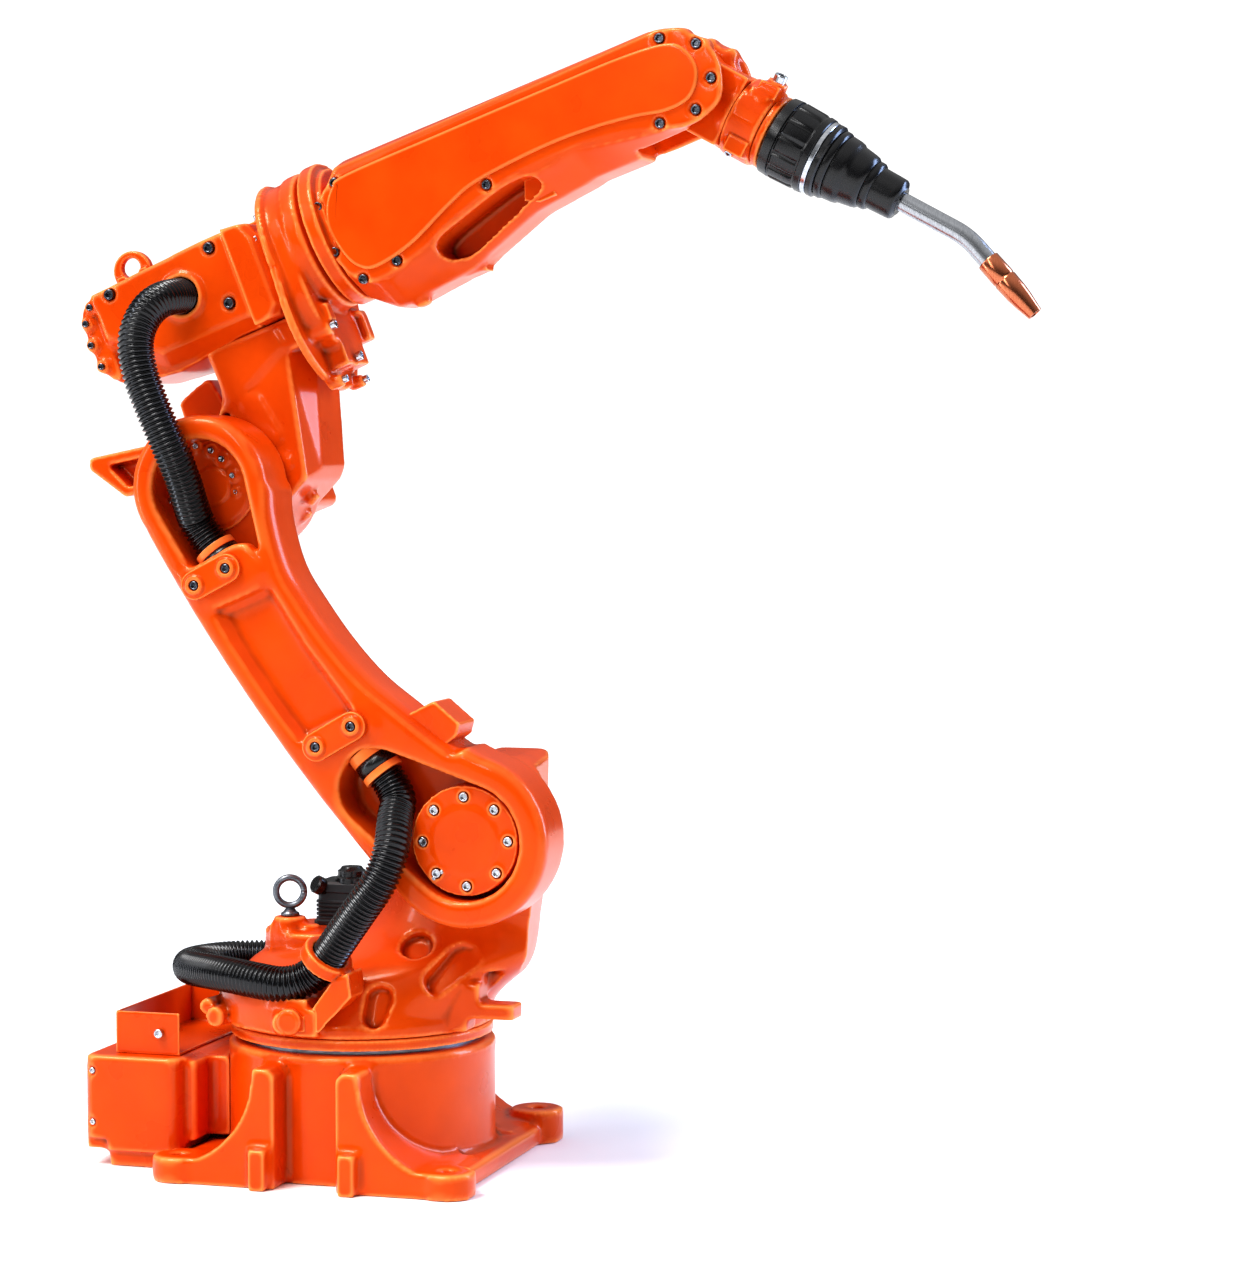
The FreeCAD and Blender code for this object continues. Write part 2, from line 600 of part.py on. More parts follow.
def lifting_eye():
    ring = disc_y(-20, 52, 24, -38, -26)
    foot = box(-40, 0, -42, -22, HOUSING_TOP, 50)
    hole = disc_y(-20, 56, 12, -60, 0)
    housing = outline((-66, HOUSING_TOP + SEAT_GAP), (-66, -34), (118, -34), (118, 45 + SEAT_GAP), (86, 45 + SEAT_GAP))
    return fuse(ring, foot).cut(hole).cut(prism_y(housing, -80, 80))


def elbow_motor():
    y = ELBOW_BACK + SEAT_GAP
    seat = disc_y(0, -ELBOW_OFFSET, 60, y, y + 18)
    body = box(-42, 42, y + 18, y + 118, -ELBOW_OFFSET - 42, -ELBOW_OFFSET + 42)
    body = body.makeFillet(10, [e for e in body.Edges if e.BoundBox.YLength > 50])
    return fuse(seat, body)


def motor_bracket():
    """A ribbed plate on the back of the elbow that carries the wire feeder."""
    hub_z = -ELBOW_OFFSET
    shape = prism_y(outline((-10, hub_z + 76), (-60, hub_z + 84), (-176, hub_z + 104), (-182, hub_z + 92), (-150, hub_z + 44),
                            (-80, hub_z + 34), (-10, hub_z + 40)), 12, 52)
    pocket = prism_y(outline((-78, hub_z + 74), (-158, hub_z + 88), (-142, hub_z + 54), (-84, hub_z + 46)), 11, 40)
    return shape.cut(pocket).cut(disc_y(0, hub_z, ELBOW_HUB_RADIUS + SEAT_GAP, -100, 200))


# ---- forearm
def forearm_flange():
    x = FLANGE_AT + JOINT_GAP
    disc = disc_x(0, 0, FLANGE_RADIUS + 2, x, x + 18)
    neck = disc_x(0, 0, FLANGE_RADIUS - 8, x + 18, x + 26)
    return fuse(disc, neck)


def side_polygon(points, y):
    return Part.makePolygon([V(x, y, z) for x, z in points + points[:1]])


def forearm_casting():
    x0 = FLANGE_AT + JOINT_GAP + 26
    reach = FOREARM_REACH
    span = reach - x0
    side = [(x0, -52), (x0, 30), (x0 + 0.06 * span, 60), (reach, FORK_RADIUS), (reach, -FORK_RADIUS),
            (reach - 0.10 * span, -50), (reach - 0.30 * span, -33), (reach - 0.465 * span, -42),
            (reach - 0.645 * span, -60), (x0 + 0.093 * span, -84)]
    belly = [(x0, -76), (x0, 50), (x0 + 0.06 * span, 72), (reach, FORK_RADIUS + 8), (reach, -FORK_RADIUS - 4),
             (reach - 0.10 * span, -66), (reach - 0.30 * span, -64), (reach - 0.465 * span, -68),
             (reach - 0.697 * span, -105), (x0 + 0.093 * span, -113)]
    wide, slim = FOREARM_HALF_WIDTH, BELLY_HALF_WIDTH
    body = Part.makeLoft([side_polygon(side, -wide), side_polygon(belly, -slim)], True, True)
    body = body.fuse([Part.makeLoft([side_polygon(belly, -slim), side_polygon(belly, slim)], True, True),
                      Part.makeLoft([side_polygon(belly, slim), side_polygon(side, wide)], True, True)])
    body = body.removeSplitter()
    cheeks = disc_y(reach, 0, FORK_RADIUS, -wide, wide)
    body = fuse(body, cheeks)
    mouth = box(reach - 66, reach + 80, -FORK_GAP, FORK_GAP, -140, 140)
    body = body.cut(mouth)
    for side_y in (-1, 1):
        slot = hull_y((x0 + 0.302 * span, -90), 13, (x0 + 0.548 * span, -62), 11, 8 * side_y, 90 * side_y)
        body = body.cut(slot)
    lug = box(x0 + 0.30 * span - 12, x0 + 0.30 * span + 12, -16, 16, -124, -98)
    return fuse(body, lug)


def side_cover(way):
    x0 = FLANGE_AT + JOINT_GAP + 26
    reach = FOREARM_REACH
    span = reach - x0
    face = outline((x0 + 0.051 * span, 44), (reach, 44), ((reach + 44, 0), (reach, -44)), (reach - 0.10 * span, -38),
                   (reach - 0.30 * span, -18), (reach - 0.465 * span, -26), (reach - 0.65 * span, -44),
                   (x0 + 0.144 * span, -68), ((x0 + 0.019 * span, -30), (x0 + 0.051 * span, 44)))
    y = way * (FOREARM_HALF_WIDTH + SEAT_GAP)
    plate = prism_y(face, y, y + way * 5)
    return plate


# ---- wrist, in the torch's frame
def wrist_housing():
    hub = disc_y(0, 0, 48, -WRIST_HALF_WIDTH, WRIST_HALF_WIDTH)
    pins = disc_y(0, 0, 20, -FORK_GAP + BEARING_GAP, FORK_GAP - BEARING_GAP)
    trunk = box(0, 76, -WRIST_HALF_WIDTH, WRIST_HALF_WIDTH, -42, 42)
    return fuse(hub, pins, trunk)


def wrist_band():
    band = disc_x(0, 0, 46, 76 + SEAT_GAP, 114)
    bosses = [disc_x(40 * math.cos(a), 40 * math.sin(a), 11, 84, 108)
              for a in [math.radians(45 + 90 * i) for i in range(4)]]
    return fuse(band, *bosses)


def wrist_ring():
    return disc_x(0, 0, 40, 114 + SEAT_GAP, 124)


# ---- torch, on the last axis
torch_start = 124 + 1.0


def torch_nut():
    ring = turned([(0, 44), (12, 46), (12, 45), (50, 44), (50, 42), (56, 42)], (torch_start, 0, 0), (1, 0, 0))
    ribs = []
    for i in range(12):
        rib = box(torch_start + 13, torch_start + 46, -4, 4, 40, 47)
        rib.rotate(V(0, 0, 0), V(1, 0, 0), i * 30)
        ribs.append(rib)
    return fuse(ring, *ribs)


def torch_band():
    return disc_x(0, 0, 42.5, torch_start + 56 + SEAT_GAP, torch_start + 62)


def torch_body():
    return turned([(0, 41), (8, 40), (10, 36), (20, 36), (24, 33), (54, 29), (60, 23), (66, 23), (68, 21),
                   (98, 19), (102, 16)], (torch_start + 62 + SEAT_GAP, 0, 0), (1, 0, 0))


neck_start = torch_start + 62 + 102 + SEAT_GAP * 2
neck_corner = neck_start + 84
neck_end_run = 36


def neck_tip():
    bend = math.radians(NECK_BEND)
    return neck_corner + neck_end_run * math.cos(bend), -neck_end_run * math.sin(bend)


def swan_neck():
    x, z = neck_tip()
    points = [(neck_start, 0, 0), (neck_corner, 0, 0), (x, 0, z)]
    return tube("swan_neck", points, NECK_DIAMETER / 2)


def tip_direction():
    bend = math.radians(NECK_BEND)
    return math.cos(bend), 0, -math.sin(bend)


def nozzle():
    x, z = neck_tip()
    r = NOZZLE_DIAMETER / 2
    shell = turned([(0, r), (10, r + 1), (14, r + 1), (14, r), (58, r - 0.5), (80, r - 4)], (x, 0, z), tip_direction())
    dx, _, dz = tip_direction()
    mouth = cylinder(r - 6, (x + dx * 60, 0, z + dz * 60), tip_direction(), 30)
    return shell.cut(mouth)


def contact_tip():
    x, z = neck_tip()
    dx, _, dz = tip_direction()
    return cylinder(4, (x + dx * (60 + SEAT_GAP), 0, z + dz * (60 + SEAT_GAP)), tip_direction(), 17)


# ---- hoses
def link_point(x, y, z):
    return on_link(Part.Vertex(V(x, y, z))).Point


def hose_upper():
    port = on_forearm(Part.Vertex(V(PORT_PLACE[0], 0, PORT_PLACE[1]))).Point
    points = [(port.x, HOUSING_NEAR + PORT_DEPTH - 1, port.z), (port.x, HOUSING_NEAR - 34, port.z)] + UPPER_BEND
    points += [link_point(FITTING_X, FITTING_Y, FITTING_HIGH + 30), link_point(FITTING_X, FITTING_Y, FITTING_HIGH + SEAT_GAP)]
    return tube("hose_upper", points, hose_radius)


def hose_lower():
    points = [link_point(FITTING_X, FITTING_Y, FITTING_LOW - SEAT_GAP), link_point(FITTING_X, FITTING_Y, FITTING_LOW - 30)]
    return tube("hose_lower", points + LOWER_BEND + [GUIDE_PLACE], hose_radius)


def hose_base_loop():
    start = V(*GUIDE_PLACE)
    return tube("hose_base_loop", [start, start - guide_direction() * 26] + LOOP_BEND, hose_radius)


NODES = {
    "base_casting": base_casting(), "connector_box": connector_box(), "cable_tray": cable_tray(),
    "rear_panel": rear_panel(), "slew_bearing": slew_bearing(),
    "turret_ring": turret_ring(), "turret_casting": turret_casting(), "cable_shelf": cable_shelf(),
    "hose_guide": hose_guide(), "eye_bolt": eye_bolt(), "turret_motor": turret_motor(),
    "shoulder_gearcase": shoulder_gearcase(), "shoulder_motor": shoulder_motor(),
    "hose_base_loop": hose_base_loop(),
    "arm_casting": on_link(arm_casting()), "shoulder_disc": on_link(shoulder_disc()),
    "elbow_disc": on_link(elbow_disc()), "clamp_lower": on_link(clamp_lower()),
    "clamp_upper": on_link(clamp_upper()), "fitting_lower": on_link(fitting_lower()),
    "fitting_upper": on_link(fitting_upper()), "hose_lower": hose_lower(),
    "elbow_casting": on_forearm(elbow_casting()), "rear_housing": on_forearm(rear_housing()),
    "rear_cap": on_forearm(rear_cap()), "collar_block": on_forearm(collar_block()),
    "wrist_drive": on_forearm(wrist_drive()), "lifting_eye": on_forearm(lifting_eye()),
    "elbow_motor": on_forearm(elbow_motor()), "motor_bracket": on_forearm(motor_bracket()),
    "hose_upper": hose_upper(),
    "forearm_flange": on_forearm(forearm_flange()), "forearm_casting": on_forearm(forearm_casting()),
    "cover_near": on_forearm(side_cover(-1)), "cover_far": on_forearm(side_cover(1)),
    "wrist_housing": on_torch(wrist_housing()), "wrist_band": on_torch(wrist_band()),
    "wrist_ring": on_torch(wrist_ring()),
    "torch_nut": on_torch(torch_nut()), "torch_band": on_torch(torch_band()),
    "torch_body": on_torch(torch_body()), "swan_neck": on_torch(swan_neck()),
    "nozzle": on_torch(nozzle()), "contact_tip": on_torch(contact_tip()),
}

os.makedirs("parts", exist_ok=True)
for node, shape in NODES.items():
    bounds = shape.BoundBox
    print(f"{node}: {len(shape.Solids)} solid, {shape.Volume / 1000:.0f} cm3, valid {shape.isValid()}, "
          f"x {bounds.XMin:.0f}..{bounds.XMax:.0f} y {bounds.YMin:.0f}..{bounds.YMax:.0f} "
          f"z {bounds.ZMin:.0f}..{bounds.ZMax:.0f}")
    shape.exportStep(f"parts/{node}.step")
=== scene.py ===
import json
import math
import bpy
import bmesh
from mathutils import Matrix, Vector


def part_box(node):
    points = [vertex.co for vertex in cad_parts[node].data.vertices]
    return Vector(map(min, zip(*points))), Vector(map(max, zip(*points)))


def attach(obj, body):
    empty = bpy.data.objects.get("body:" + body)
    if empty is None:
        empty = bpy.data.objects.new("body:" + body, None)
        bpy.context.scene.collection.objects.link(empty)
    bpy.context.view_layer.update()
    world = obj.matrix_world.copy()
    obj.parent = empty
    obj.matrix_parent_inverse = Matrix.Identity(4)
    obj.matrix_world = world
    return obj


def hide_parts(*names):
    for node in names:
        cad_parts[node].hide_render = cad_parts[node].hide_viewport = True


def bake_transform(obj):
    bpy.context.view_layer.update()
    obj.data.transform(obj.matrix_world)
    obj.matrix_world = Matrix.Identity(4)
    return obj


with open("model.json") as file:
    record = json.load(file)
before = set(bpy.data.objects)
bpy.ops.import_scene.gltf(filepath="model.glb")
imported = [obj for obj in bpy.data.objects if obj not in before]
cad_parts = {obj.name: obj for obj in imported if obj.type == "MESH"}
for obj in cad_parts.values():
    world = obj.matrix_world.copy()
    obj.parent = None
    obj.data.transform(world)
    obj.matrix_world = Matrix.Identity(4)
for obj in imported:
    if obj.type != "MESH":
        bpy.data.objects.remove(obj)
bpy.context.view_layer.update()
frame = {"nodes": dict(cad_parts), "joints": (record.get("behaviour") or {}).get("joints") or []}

# Welding robot: painted castings, black corrugated hoses, screws and a torch, over the CAD frame.
# Lengths in the piece dictionaries are millimetres, in the frame of the body that carries the piece.

joints = {joint["name"]: joint for joint in frame["joints"]}


def jointFrame(place, forward):
    # local X runs along forward, local Y is the row frame's Y
    along = Vector(forward).normalized()
    across = Vector((0, 1, 0))
    up = along.cross(across)
    turn = Matrix((along, across, up)).transposed().to_4x4()
    return Matrix.Translation(Vector(place)) @ turn


shoulderAt = Vector(joints["shoulder"]["pos_m"])
elbowAt = Vector(joints["elbow"]["pos_m"])
wristAt = Vector(joints["wrist_bend"]["pos_m"])
forearmAxis = Vector(joints["forearm_roll"]["axis"])
torchAxis = Vector(joints["torch_roll"]["axis"])
linkUp = (elbowAt - shoulderAt).normalized()
elbowHeight = (elbowAt - wristAt).cross(forearmAxis).length
forearmUp = forearmAxis.cross(Vector((0, 1, 0)))

ground = Matrix.Identity(4)
linkFrame = jointFrame(shoulderAt, Vector((0, 1, 0)).cross(linkUp))
forearmFrame = jointFrame(elbowAt + forearmUp * elbowHeight, forearmAxis)
torchFrame = jointFrame(wristAt, torchAxis)
places = {"base": ground, "turret": ground, "lower_arm": linkFrame, "elbow": forearmFrame,
          "forearm": forearmFrame, "wrist": torchFrame, "tool": torchFrame}


def mm(*values):
    return Vector([v / 1000 for v in values])


# mesh shapes: each is (points in millimetres, faces)
def ringSolid(rings):
    points, faces = [], []
    count = len(rings[0])
    for ring in rings:
        points.extend(Vector(p) for p in ring)
    for i in range(len(rings) - 1):
        for j in range(count):
            k = (j + 1) % count
            faces.append((i * count + j, i * count + k, (i + 1) * count + k, (i + 1) * count + j))
    faces.append(tuple(range(count))[::-1])
    faces.append(tuple((len(rings) - 1) * count + j for j in range(count)))
    return points, faces


def moved(shape, matrix):
    return [matrix @ p for p in shape[0]], shape[1]


def joined(shapes):
    points, faces = [], []
    for somePoints, someFaces in shapes:
        base = len(points)
        points.extend(somePoints)
        faces.extend(tuple(base + i for i in face) for face in someFaces)
    return points, faces


def lookAlong(place, direction):
    # local Z runs along direction
    turn = Vector(direction).to_track_quat("Z", "Y").to_matrix().to_4x4()
    return Matrix.Translation(Vector(place)) @ turn


def turnedShape(profile, place, direction, sides=40):
    # profile is (distance along, radius) pairs
    rings = []
    for along, radius in profile:
        rings.append([(radius * math.cos(a), radius * math.sin(a), along)
                      for a in [2 * math.pi * i / sides for i in range(sides)]])
    return moved(ringSolid(rings), lookAlong(place, direction))


def rod(radius, start, end, sides=32):
    run = Vector(end) - Vector(start)
    return turnedShape([(0, radius), (run.length, radius)], start, run, sides)


def slab(outline, y0, y1):
    # a closed outline in local X and Z, between two values of local Y
    return ringSolid([[(x, y, z) for x, z in outline] for y in (y0, y1)])


def block(x0, x1, y0, y1, z0, z1):
    return slab([(x0, z0), (x1, z0), (x1, z1), (x0, z1)], y0, y1)


def roundedOutline(corners, radius, steps=6):
    # the corners of a flat outline, each turned with the same radius
    out = []
    count = len(corners)
    for i, here in enumerate(corners):
        before, after = Vector(corners[i - 1]), Vector(corners[(i + 1) % count])
        here = Vector(here)
        a, b = (before - here), (after - here)
        half = a.angle(b) / 2
        reach = min(radius / math.tan(half), a.length * 0.48, b.length * 0.48)
        start, end = here + a.normalized() * reach, here + b.normalized() * reach
        for step in range(steps + 1):
            t = step / steps
            out.append(tuple(start * (1 - t) ** 2 + here * 2 * t * (1 - t) + end * t * t))
    return out


def roundedSlab(corners, radius, y0, y1):
    return slab(roundedOutline(corners, radius), y0, y1)


def sector(inner, outer, start, end, z0, z1, steps=24):
    # part of a round wall about the turning axis, angles in degrees
    rings = []
    for i in range(steps + 1):
        a = math.radians(start + (end - start) * i / steps)
        rings.append([(r * math.cos(a), r * math.sin(a), z) for r, z in
                      ((inner, z0), (outer, z0), (outer, z1), (inner, z1))])
    return ringSolid(rings)


def smoothOutline(corners, steps=6):
    # a closed line that flows through the corners
    out = []
    count = len(corners)
    for i in range(count):
        a, b, c, d = (Vector(corners[(i + k) % count]) for k in (-1, 0, 1, 2))
        for j in range(steps):
            t = j / steps
            out.append(0.5 * (2 * b + (c - a) * t + (2 * a - 5 * b + 4 * c - d) * t ** 2
                              + (3 * b - a - 3 * c + d) * t ** 3))
    return [tuple(p) for p in out]


def meshObject(name, shape, place):
    mesh = bpy.data.meshes.new(name)
    mesh.from_pydata([p / 1000 for p in shape[0]], [], shape[1])
    mesh.update()
    tidy = bmesh.new()
    tidy.from_mesh(mesh)
    bmesh.ops.recalc_face_normals(tidy, faces=tidy.faces)
    tidy.to_mesh(mesh)
    tidy.free()
    piece = bpy.data.objects.new(name, mesh)
    bpy.context.scene.collection.objects.link(piece)
    piece.matrix_world = place
    return piece


def applyModifiers(piece):
    bpy.context.view_layer.update()
    graph = bpy.context.evaluated_depsgraph_get()
    mesh = bpy.data.meshes.new_from_object(piece.evaluated_get(graph))
    piece.modifiers.clear()
    piece.data = mesh


# metres: the grid of the cutting tools, and how near doubled CAD points lie; ease is a share of each move
cast = {"toolGrid": 0.0016, "weld": 0.00002, "ease": 0.5}


def cadShape(node, place):
    # a CAD node's own mesh, in millimetres in the given frame, its doubled points joined
    source = frame["nodes"][node].data
    work = bmesh.new()
    work.from_mesh(source)
    bmesh.ops.remove_doubles(work, verts=work.verts, dist=cast["weld"])
    back = place.inverted()
    points = [back @ v.co * 1000 for v in work.verts]
    work.verts.index_update()
    faces = [tuple(v.index for v in face.verts) for face in work.faces]
    work.free()
    return points, faces


def modifier(piece, kind, **settings):
    made = piece.modifiers.new(kind.lower(), kind)
    for key, value in settings.items():
        setattr(made, key, value)
    return made


def casting(name, body, nodes, grid, extras=(), cuts=()):
    # one cast piece: CAD solids and bosses melt together, cuts are taken out, and every edge is eased
    (voxel, rounds), place = grid, places[body]
    piece = meshObject(name, joined([cadShape(node, place) for node in nodes] + list(extras)), place)
    modifier(piece, "REMESH", mode="VOXEL", voxel_size=voxel / 1000)
    applyModifiers(piece)
    if cuts:
        tool = meshObject(name + "_tool", joined(cuts), place)
        modifier(tool, "REMESH", mode="VOXEL", voxel_size=cast["toolGrid"])
        applyModifiers(tool)
        modifier(piece, "BOOLEAN", operation="DIFFERENCE", solver="MANIFOLD", object=tool)
        modifier(piece, "REMESH", mode="VOXEL", voxel_size=voxel / 1000)
        applyModifiers(piece)
        bpy.data.objects.remove(tool)
    modifier(piece, "SMOOTH", factor=cast["ease"], iterations=rounds)
    applyModifiers(piece)
    return finished(piece, body, orangeEnamel, nodes)


def bevelled(piece, width, segments=2):
    modifier(piece, "BEVEL", width=width, segments=segments, limit_method="ANGLE", angle_limit=0.6)
    applyModifiers(piece)


def finished(piece, body, material, replaces=(), smooth=True):
    piece.data.materials.clear()
    piece.data.materials.append(material)
    piece.data.polygons.foreach_set("use_smooth", [smooth] * len(piece.data.polygons))
    piece.data.transform(piece.matrix_world)
    piece.matrix_world = ground
    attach(piece, body)
    if replaces:
        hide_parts(*replaces)
    return piece


# materials
def toLinear(code):
    # an sRGB hex colour as linear RGBA
    parts = [int(code[i:i + 2], 16) / 255 for i in (1, 3, 5)]
    return tuple(c / 12.92 if c <= 0.04045 else ((c + 0.055) / 1.055) ** 2.4 for c in parts) + (1.0,)


def addNode(tree, kind, settings=None, links=None):
    node = tree.nodes.new(kind)
    for key, value in (settings or {}).items():
        if key == "stops":      # a colour ramp's positions and colours
            marks = node.color_ramp.elements
            marks[0].position, marks[0].color = value[0]
            marks[1].position, marks[1].color = value[-1]
            for position, colour in value[1:-1]:
                marks.new(position).color = colour
        elif isinstance(key, int) or key in node.inputs:
            node.inputs[key].default_value = value
        else:
            setattr(node, key, value)
    for key, source in (links or {}).items():
        tree.links.new(source, node.inputs[key])
    return node


def newMaterial(name):
    material = bpy.data.materials.new(name)
    material.use_nodes = True
    tree = material.node_tree
    tree.nodes.clear()
    output = addNode(tree, "ShaderNodeOutputMaterial")
    place = addNode(tree, "ShaderNodeTexCoord").outputs["Object"]
    return material, tree, output, place


def grey(value):
    return (value, value, value, 1.0)


# polyurethane enamel sprayed on cast aluminium: saturated and glossy, its fine texture breaks highlights;
# a painted highlight lightens thin edges and painted shade darkens corners, so each casting reads apart from
# the next
enamelLook = {
    # edge is the colour of a painted highlight laid along thin edges
    "orange": "#DC4800", "shade": "#D04000", "edge": "#FF9148", "corner": "#701A00",
    "sheen": (1.0, 0.42, 0.12, 1.0), "coat": 0.24, "coatRoughness": 0.09, "roughness": 0.30,
    # millimetres between the dimples and between the clouds
    "peel": 3.2, "peelStrength": 0.16, "cloud": 70.0,
    # cornerStops pick the creases that get the corner colour, a painted shade
    "edgeStops": (0.512, 0.55), "cornerStops": (0.45, 0.492),
}


def sprayedEnamel(name, look):
    material, tree, output, place = newMaterial(name)
    cloud = addNode(tree, "ShaderNodeTexNoise", {"Scale": 1000 / look["cloud"], "Detail": 3.0},
                    {"Vector": place})
    body = addNode(tree, "ShaderNodeValToRGB",
                   {"stops": [(0.35, toLinear(look["shade"])), (0.65, toLinear(look["orange"]))]},
                   {"Fac": cloud.outputs["Fac"]}).outputs["Color"]
    bend = addNode(tree, "ShaderNodeNewGeometry").outputs["Pointiness"]
    # thin edges, found by pointiness above edgeStops, get the edge colour mixed in as a painted highlight
    rim = addNode(tree, "ShaderNodeValToRGB",
                  {"stops": [(stop, grey(i)) for i, stop in enumerate(look["edgeStops"])]},
                  {"Fac": bend}).outputs["Color"]
    paintedHighlight = addNode(tree, "ShaderNodeMix", {"data_type": "RGBA", 7: toLinear(look["edge"])},
                   {0: rim, 6: body})
    # creases, found by pointiness below cornerStops, get the corner colour mixed in as painted shade
    paintedShadeMask = addNode(tree, "ShaderNodeValToRGB",
                   {"stops": [(stop, grey(1 - i)) for i, stop in enumerate(look["cornerStops"])]},
                   {"Fac": bend}).outputs["Color"]
    toned = addNode(tree, "ShaderNodeMix", {"data_type": "RGBA", 7: toLinear(look["corner"])},
                    {0: paintedShadeMask, 6: paintedHighlight.outputs[2]})
    peel = addNode(tree, "ShaderNodeTexNoise", {"Scale": 1000 / look["peel"], "Detail": 2.0},
                   {"Vector": place})
    bump = addNode(tree, "ShaderNodeBump", {"Strength": look["peelStrength"], "Distance": 0.0004},
                   {"Height": peel.outputs["Fac"]})
    gloss = addNode(tree, "ShaderNodeValToRGB",
                    {"stops": [(0.3, grey(look["roughness"] - 0.04)),
                               (0.7, grey(look["roughness"] + 0.05))]},
                    {"Fac": cloud.outputs["Fac"]}).outputs["Color"]
    shader = addNode(tree, "ShaderNodeBsdfPrincipled",
                     {"IOR": 1.5, "Specular Tint": look["sheen"], "Coat Weight": look["coat"],
                      "Coat Roughness": look["coatRoughness"]},
                     {"Base Color": toned.outputs[2], "Roughness": gloss, "Normal": bump.outputs["Normal"]})
    tree.links.new(shader.outputs[0], output.inputs["Surface"])
    return material


# moulded or extruded plastic: near black, with a fine grain that breaks the highlight
def mouldedPlastic(name, colour, grain, roughness):
    material, tree, output, place = newMaterial(name)
    fine = addNode(tree, "ShaderNodeTexNoise", {"Scale": 1000 / grain, "Detail": 3.0}, {"Vector": place})
    bright = [min(1, c * 1.8) for c in toLinear(colour)]
    tone = addNode(tree, "ShaderNodeValToRGB", {"stops": [(0.3, toLinear(colour)), (0.8, bright)]},
                   {"Fac": fine.outputs["Fac"]}).outputs["Color"]
    gloss = addNode(tree, "ShaderNodeValToRGB",
                    {"stops": [(0.3, grey(roughness - 0.06)), (0.7, grey(roughness + 0.06))]},
                    {"Fac": fine.outputs["Fac"]}).outputs["Color"]
    bump = addNode(tree, "ShaderNodeBump", {"Strength": 0.2, "Distance": 0.0002},
                   {"Height": fine.outputs["Fac"]})
    shader = addNode(tree, "ShaderNodeBsdfPrincipled", {"IOR": 1.5},
                     {"Base Color": tone, "Roughness": gloss, "Normal": bump.outputs["Normal"]})
    tree.links.new(shader.outputs[0], output.inputs["Surface"])
    return material


# machined, drawn or plated metal: fine tool lines round one axis blur the reflection across them
def workedMetal(name, colour, dark, roughness, lineSize, axis="Z"):
    material, tree, output, place = newMaterial(name)
    stretch = {"X": (1, 0.06, 0.06), "Y": (0.06, 1, 0.06), "Z": (0.06, 0.06, 1)}[axis]
    mapped = addNode(tree, "ShaderNodeMapping", {"Scale": stretch}, {"Vector": place})
    lines = addNode(tree, "ShaderNodeTexNoise", {"Scale": 1000 / lineSize, "Detail": 4.0},
                    {"Vector": mapped.outputs["Vector"]})
    tone = addNode(tree, "ShaderNodeValToRGB", {"stops": [(0.3, toLinear(dark)), (0.7, toLinear(colour))]},
                   {"Fac": lines.outputs["Fac"]}).outputs["Color"]
    gloss = addNode(tree, "ShaderNodeValToRGB",
                    {"stops": [(0.3, grey(roughness + 0.08)), (0.7, grey(roughness))]},
                    {"Fac": lines.outputs["Fac"]}).outputs["Color"]
    bump = addNode(tree, "ShaderNodeBump", {"Strength": 0.08, "Distance": 0.0001},
                   {"Height": lines.outputs["Fac"]})
    shader = addNode(tree, "ShaderNodeBsdfPrincipled", {"Metallic": 1.0},
                     {"Base Color": tone, "Roughness": gloss, "Normal": bump.outputs["Normal"]})
    tree.links.new(shader.outputs[0], output.inputs["Surface"])
    return material


orangeEnamel = sprayedEnamel("orange_enamel_on_cast_aluminium", enamelLook)
# extruded conduit: deep black and glossy, so each ring carries its own thin highlight
nylonHose = mouldedPlastic("black_polyamide_corrugated_hose", "#050507", 4.0, 0.20)
# moulded grips and plugs: black with a soft sheen that shows every step of the torch
phenolic = mouldedPlastic("black_moulded_phenolic", "#08080A", 1.2, 0.26)
# powder coat: charcoal and dull, so the motors stay behind the bright castings
motorBlack = mouldedPlastic("black_powder_coated_motor", "#101114", 1.6, 0.42)
# ground and oiled: a grey that stays readable against a white ground
groundSteel = workedMetal("ground_bearing_steel", "#8A8D92", "#55585E", 0.32, 0.8)
# zinc plated: small bright points against the paint
zincSteel = workedMetal("bright_zinc_plated_steel", "#DADDE2", "#A9ADB4", 0.16, 1.0)
# drawn tube: long soft streaks that turn with the bend
drawnStainless = workedMetal("drawn_stainless_tube", "#BFC1C5", "#8F9298", 0.20, 0.5, "X")
# spun sheet: warm brown-pink with fine rings and a tight highlight
copperCup = workedMetal("spun_copper", "#CC7E5C", "#B8694A", 0.16, 0.5, "X")
# black oxide: dark heads whose sockets catch a thin light
screwSteel = workedMetal("black_oxide_screw_steel", "#7C828C", "#3A3E46", 0.24, 0.7)
print("materials made")


# corrugated hoses follow the smooth spline of their route
hoses = {
    "radius": 21.0, "groove": 2.8, "pitch": 5.6, "sides": 24,
    "guide": (14, -152, 262), "guideLead": 0.026,
    "union": (-33, -113), "unionLow": 118, "unionHigh": 452, "unionGrip": 4, "unionLead": 30,
    "port": (43, -6), "portDepths": (-62, -109),
    "lower": [(90, -133, 425), (98, -158, 398), (88, -169, 358), (57, -167, 318)],
    "upper": [(-204, -145, 1006), (-213, -165, 972), (-205, -171, 932), (-188, -171, 890), (-171, -163, 846),
              (-162, -145, 808), (-160, -129, 778)],
    "loop": [(-34, -156, 229), (-74, -150, 233), (-118, -130, 235), (-160, -94, 232), (-200, -50, 227),
             (-222, 2, 223), (-206, 54, 222), (-164, 84, 222), (-112, 92, 222)],
}


def linkPoint(x, y, z):
    return linkFrame @ mm(x, y, z)


def forearmPoint(x, y, z):
    return forearmFrame @ mm(x, y, z)


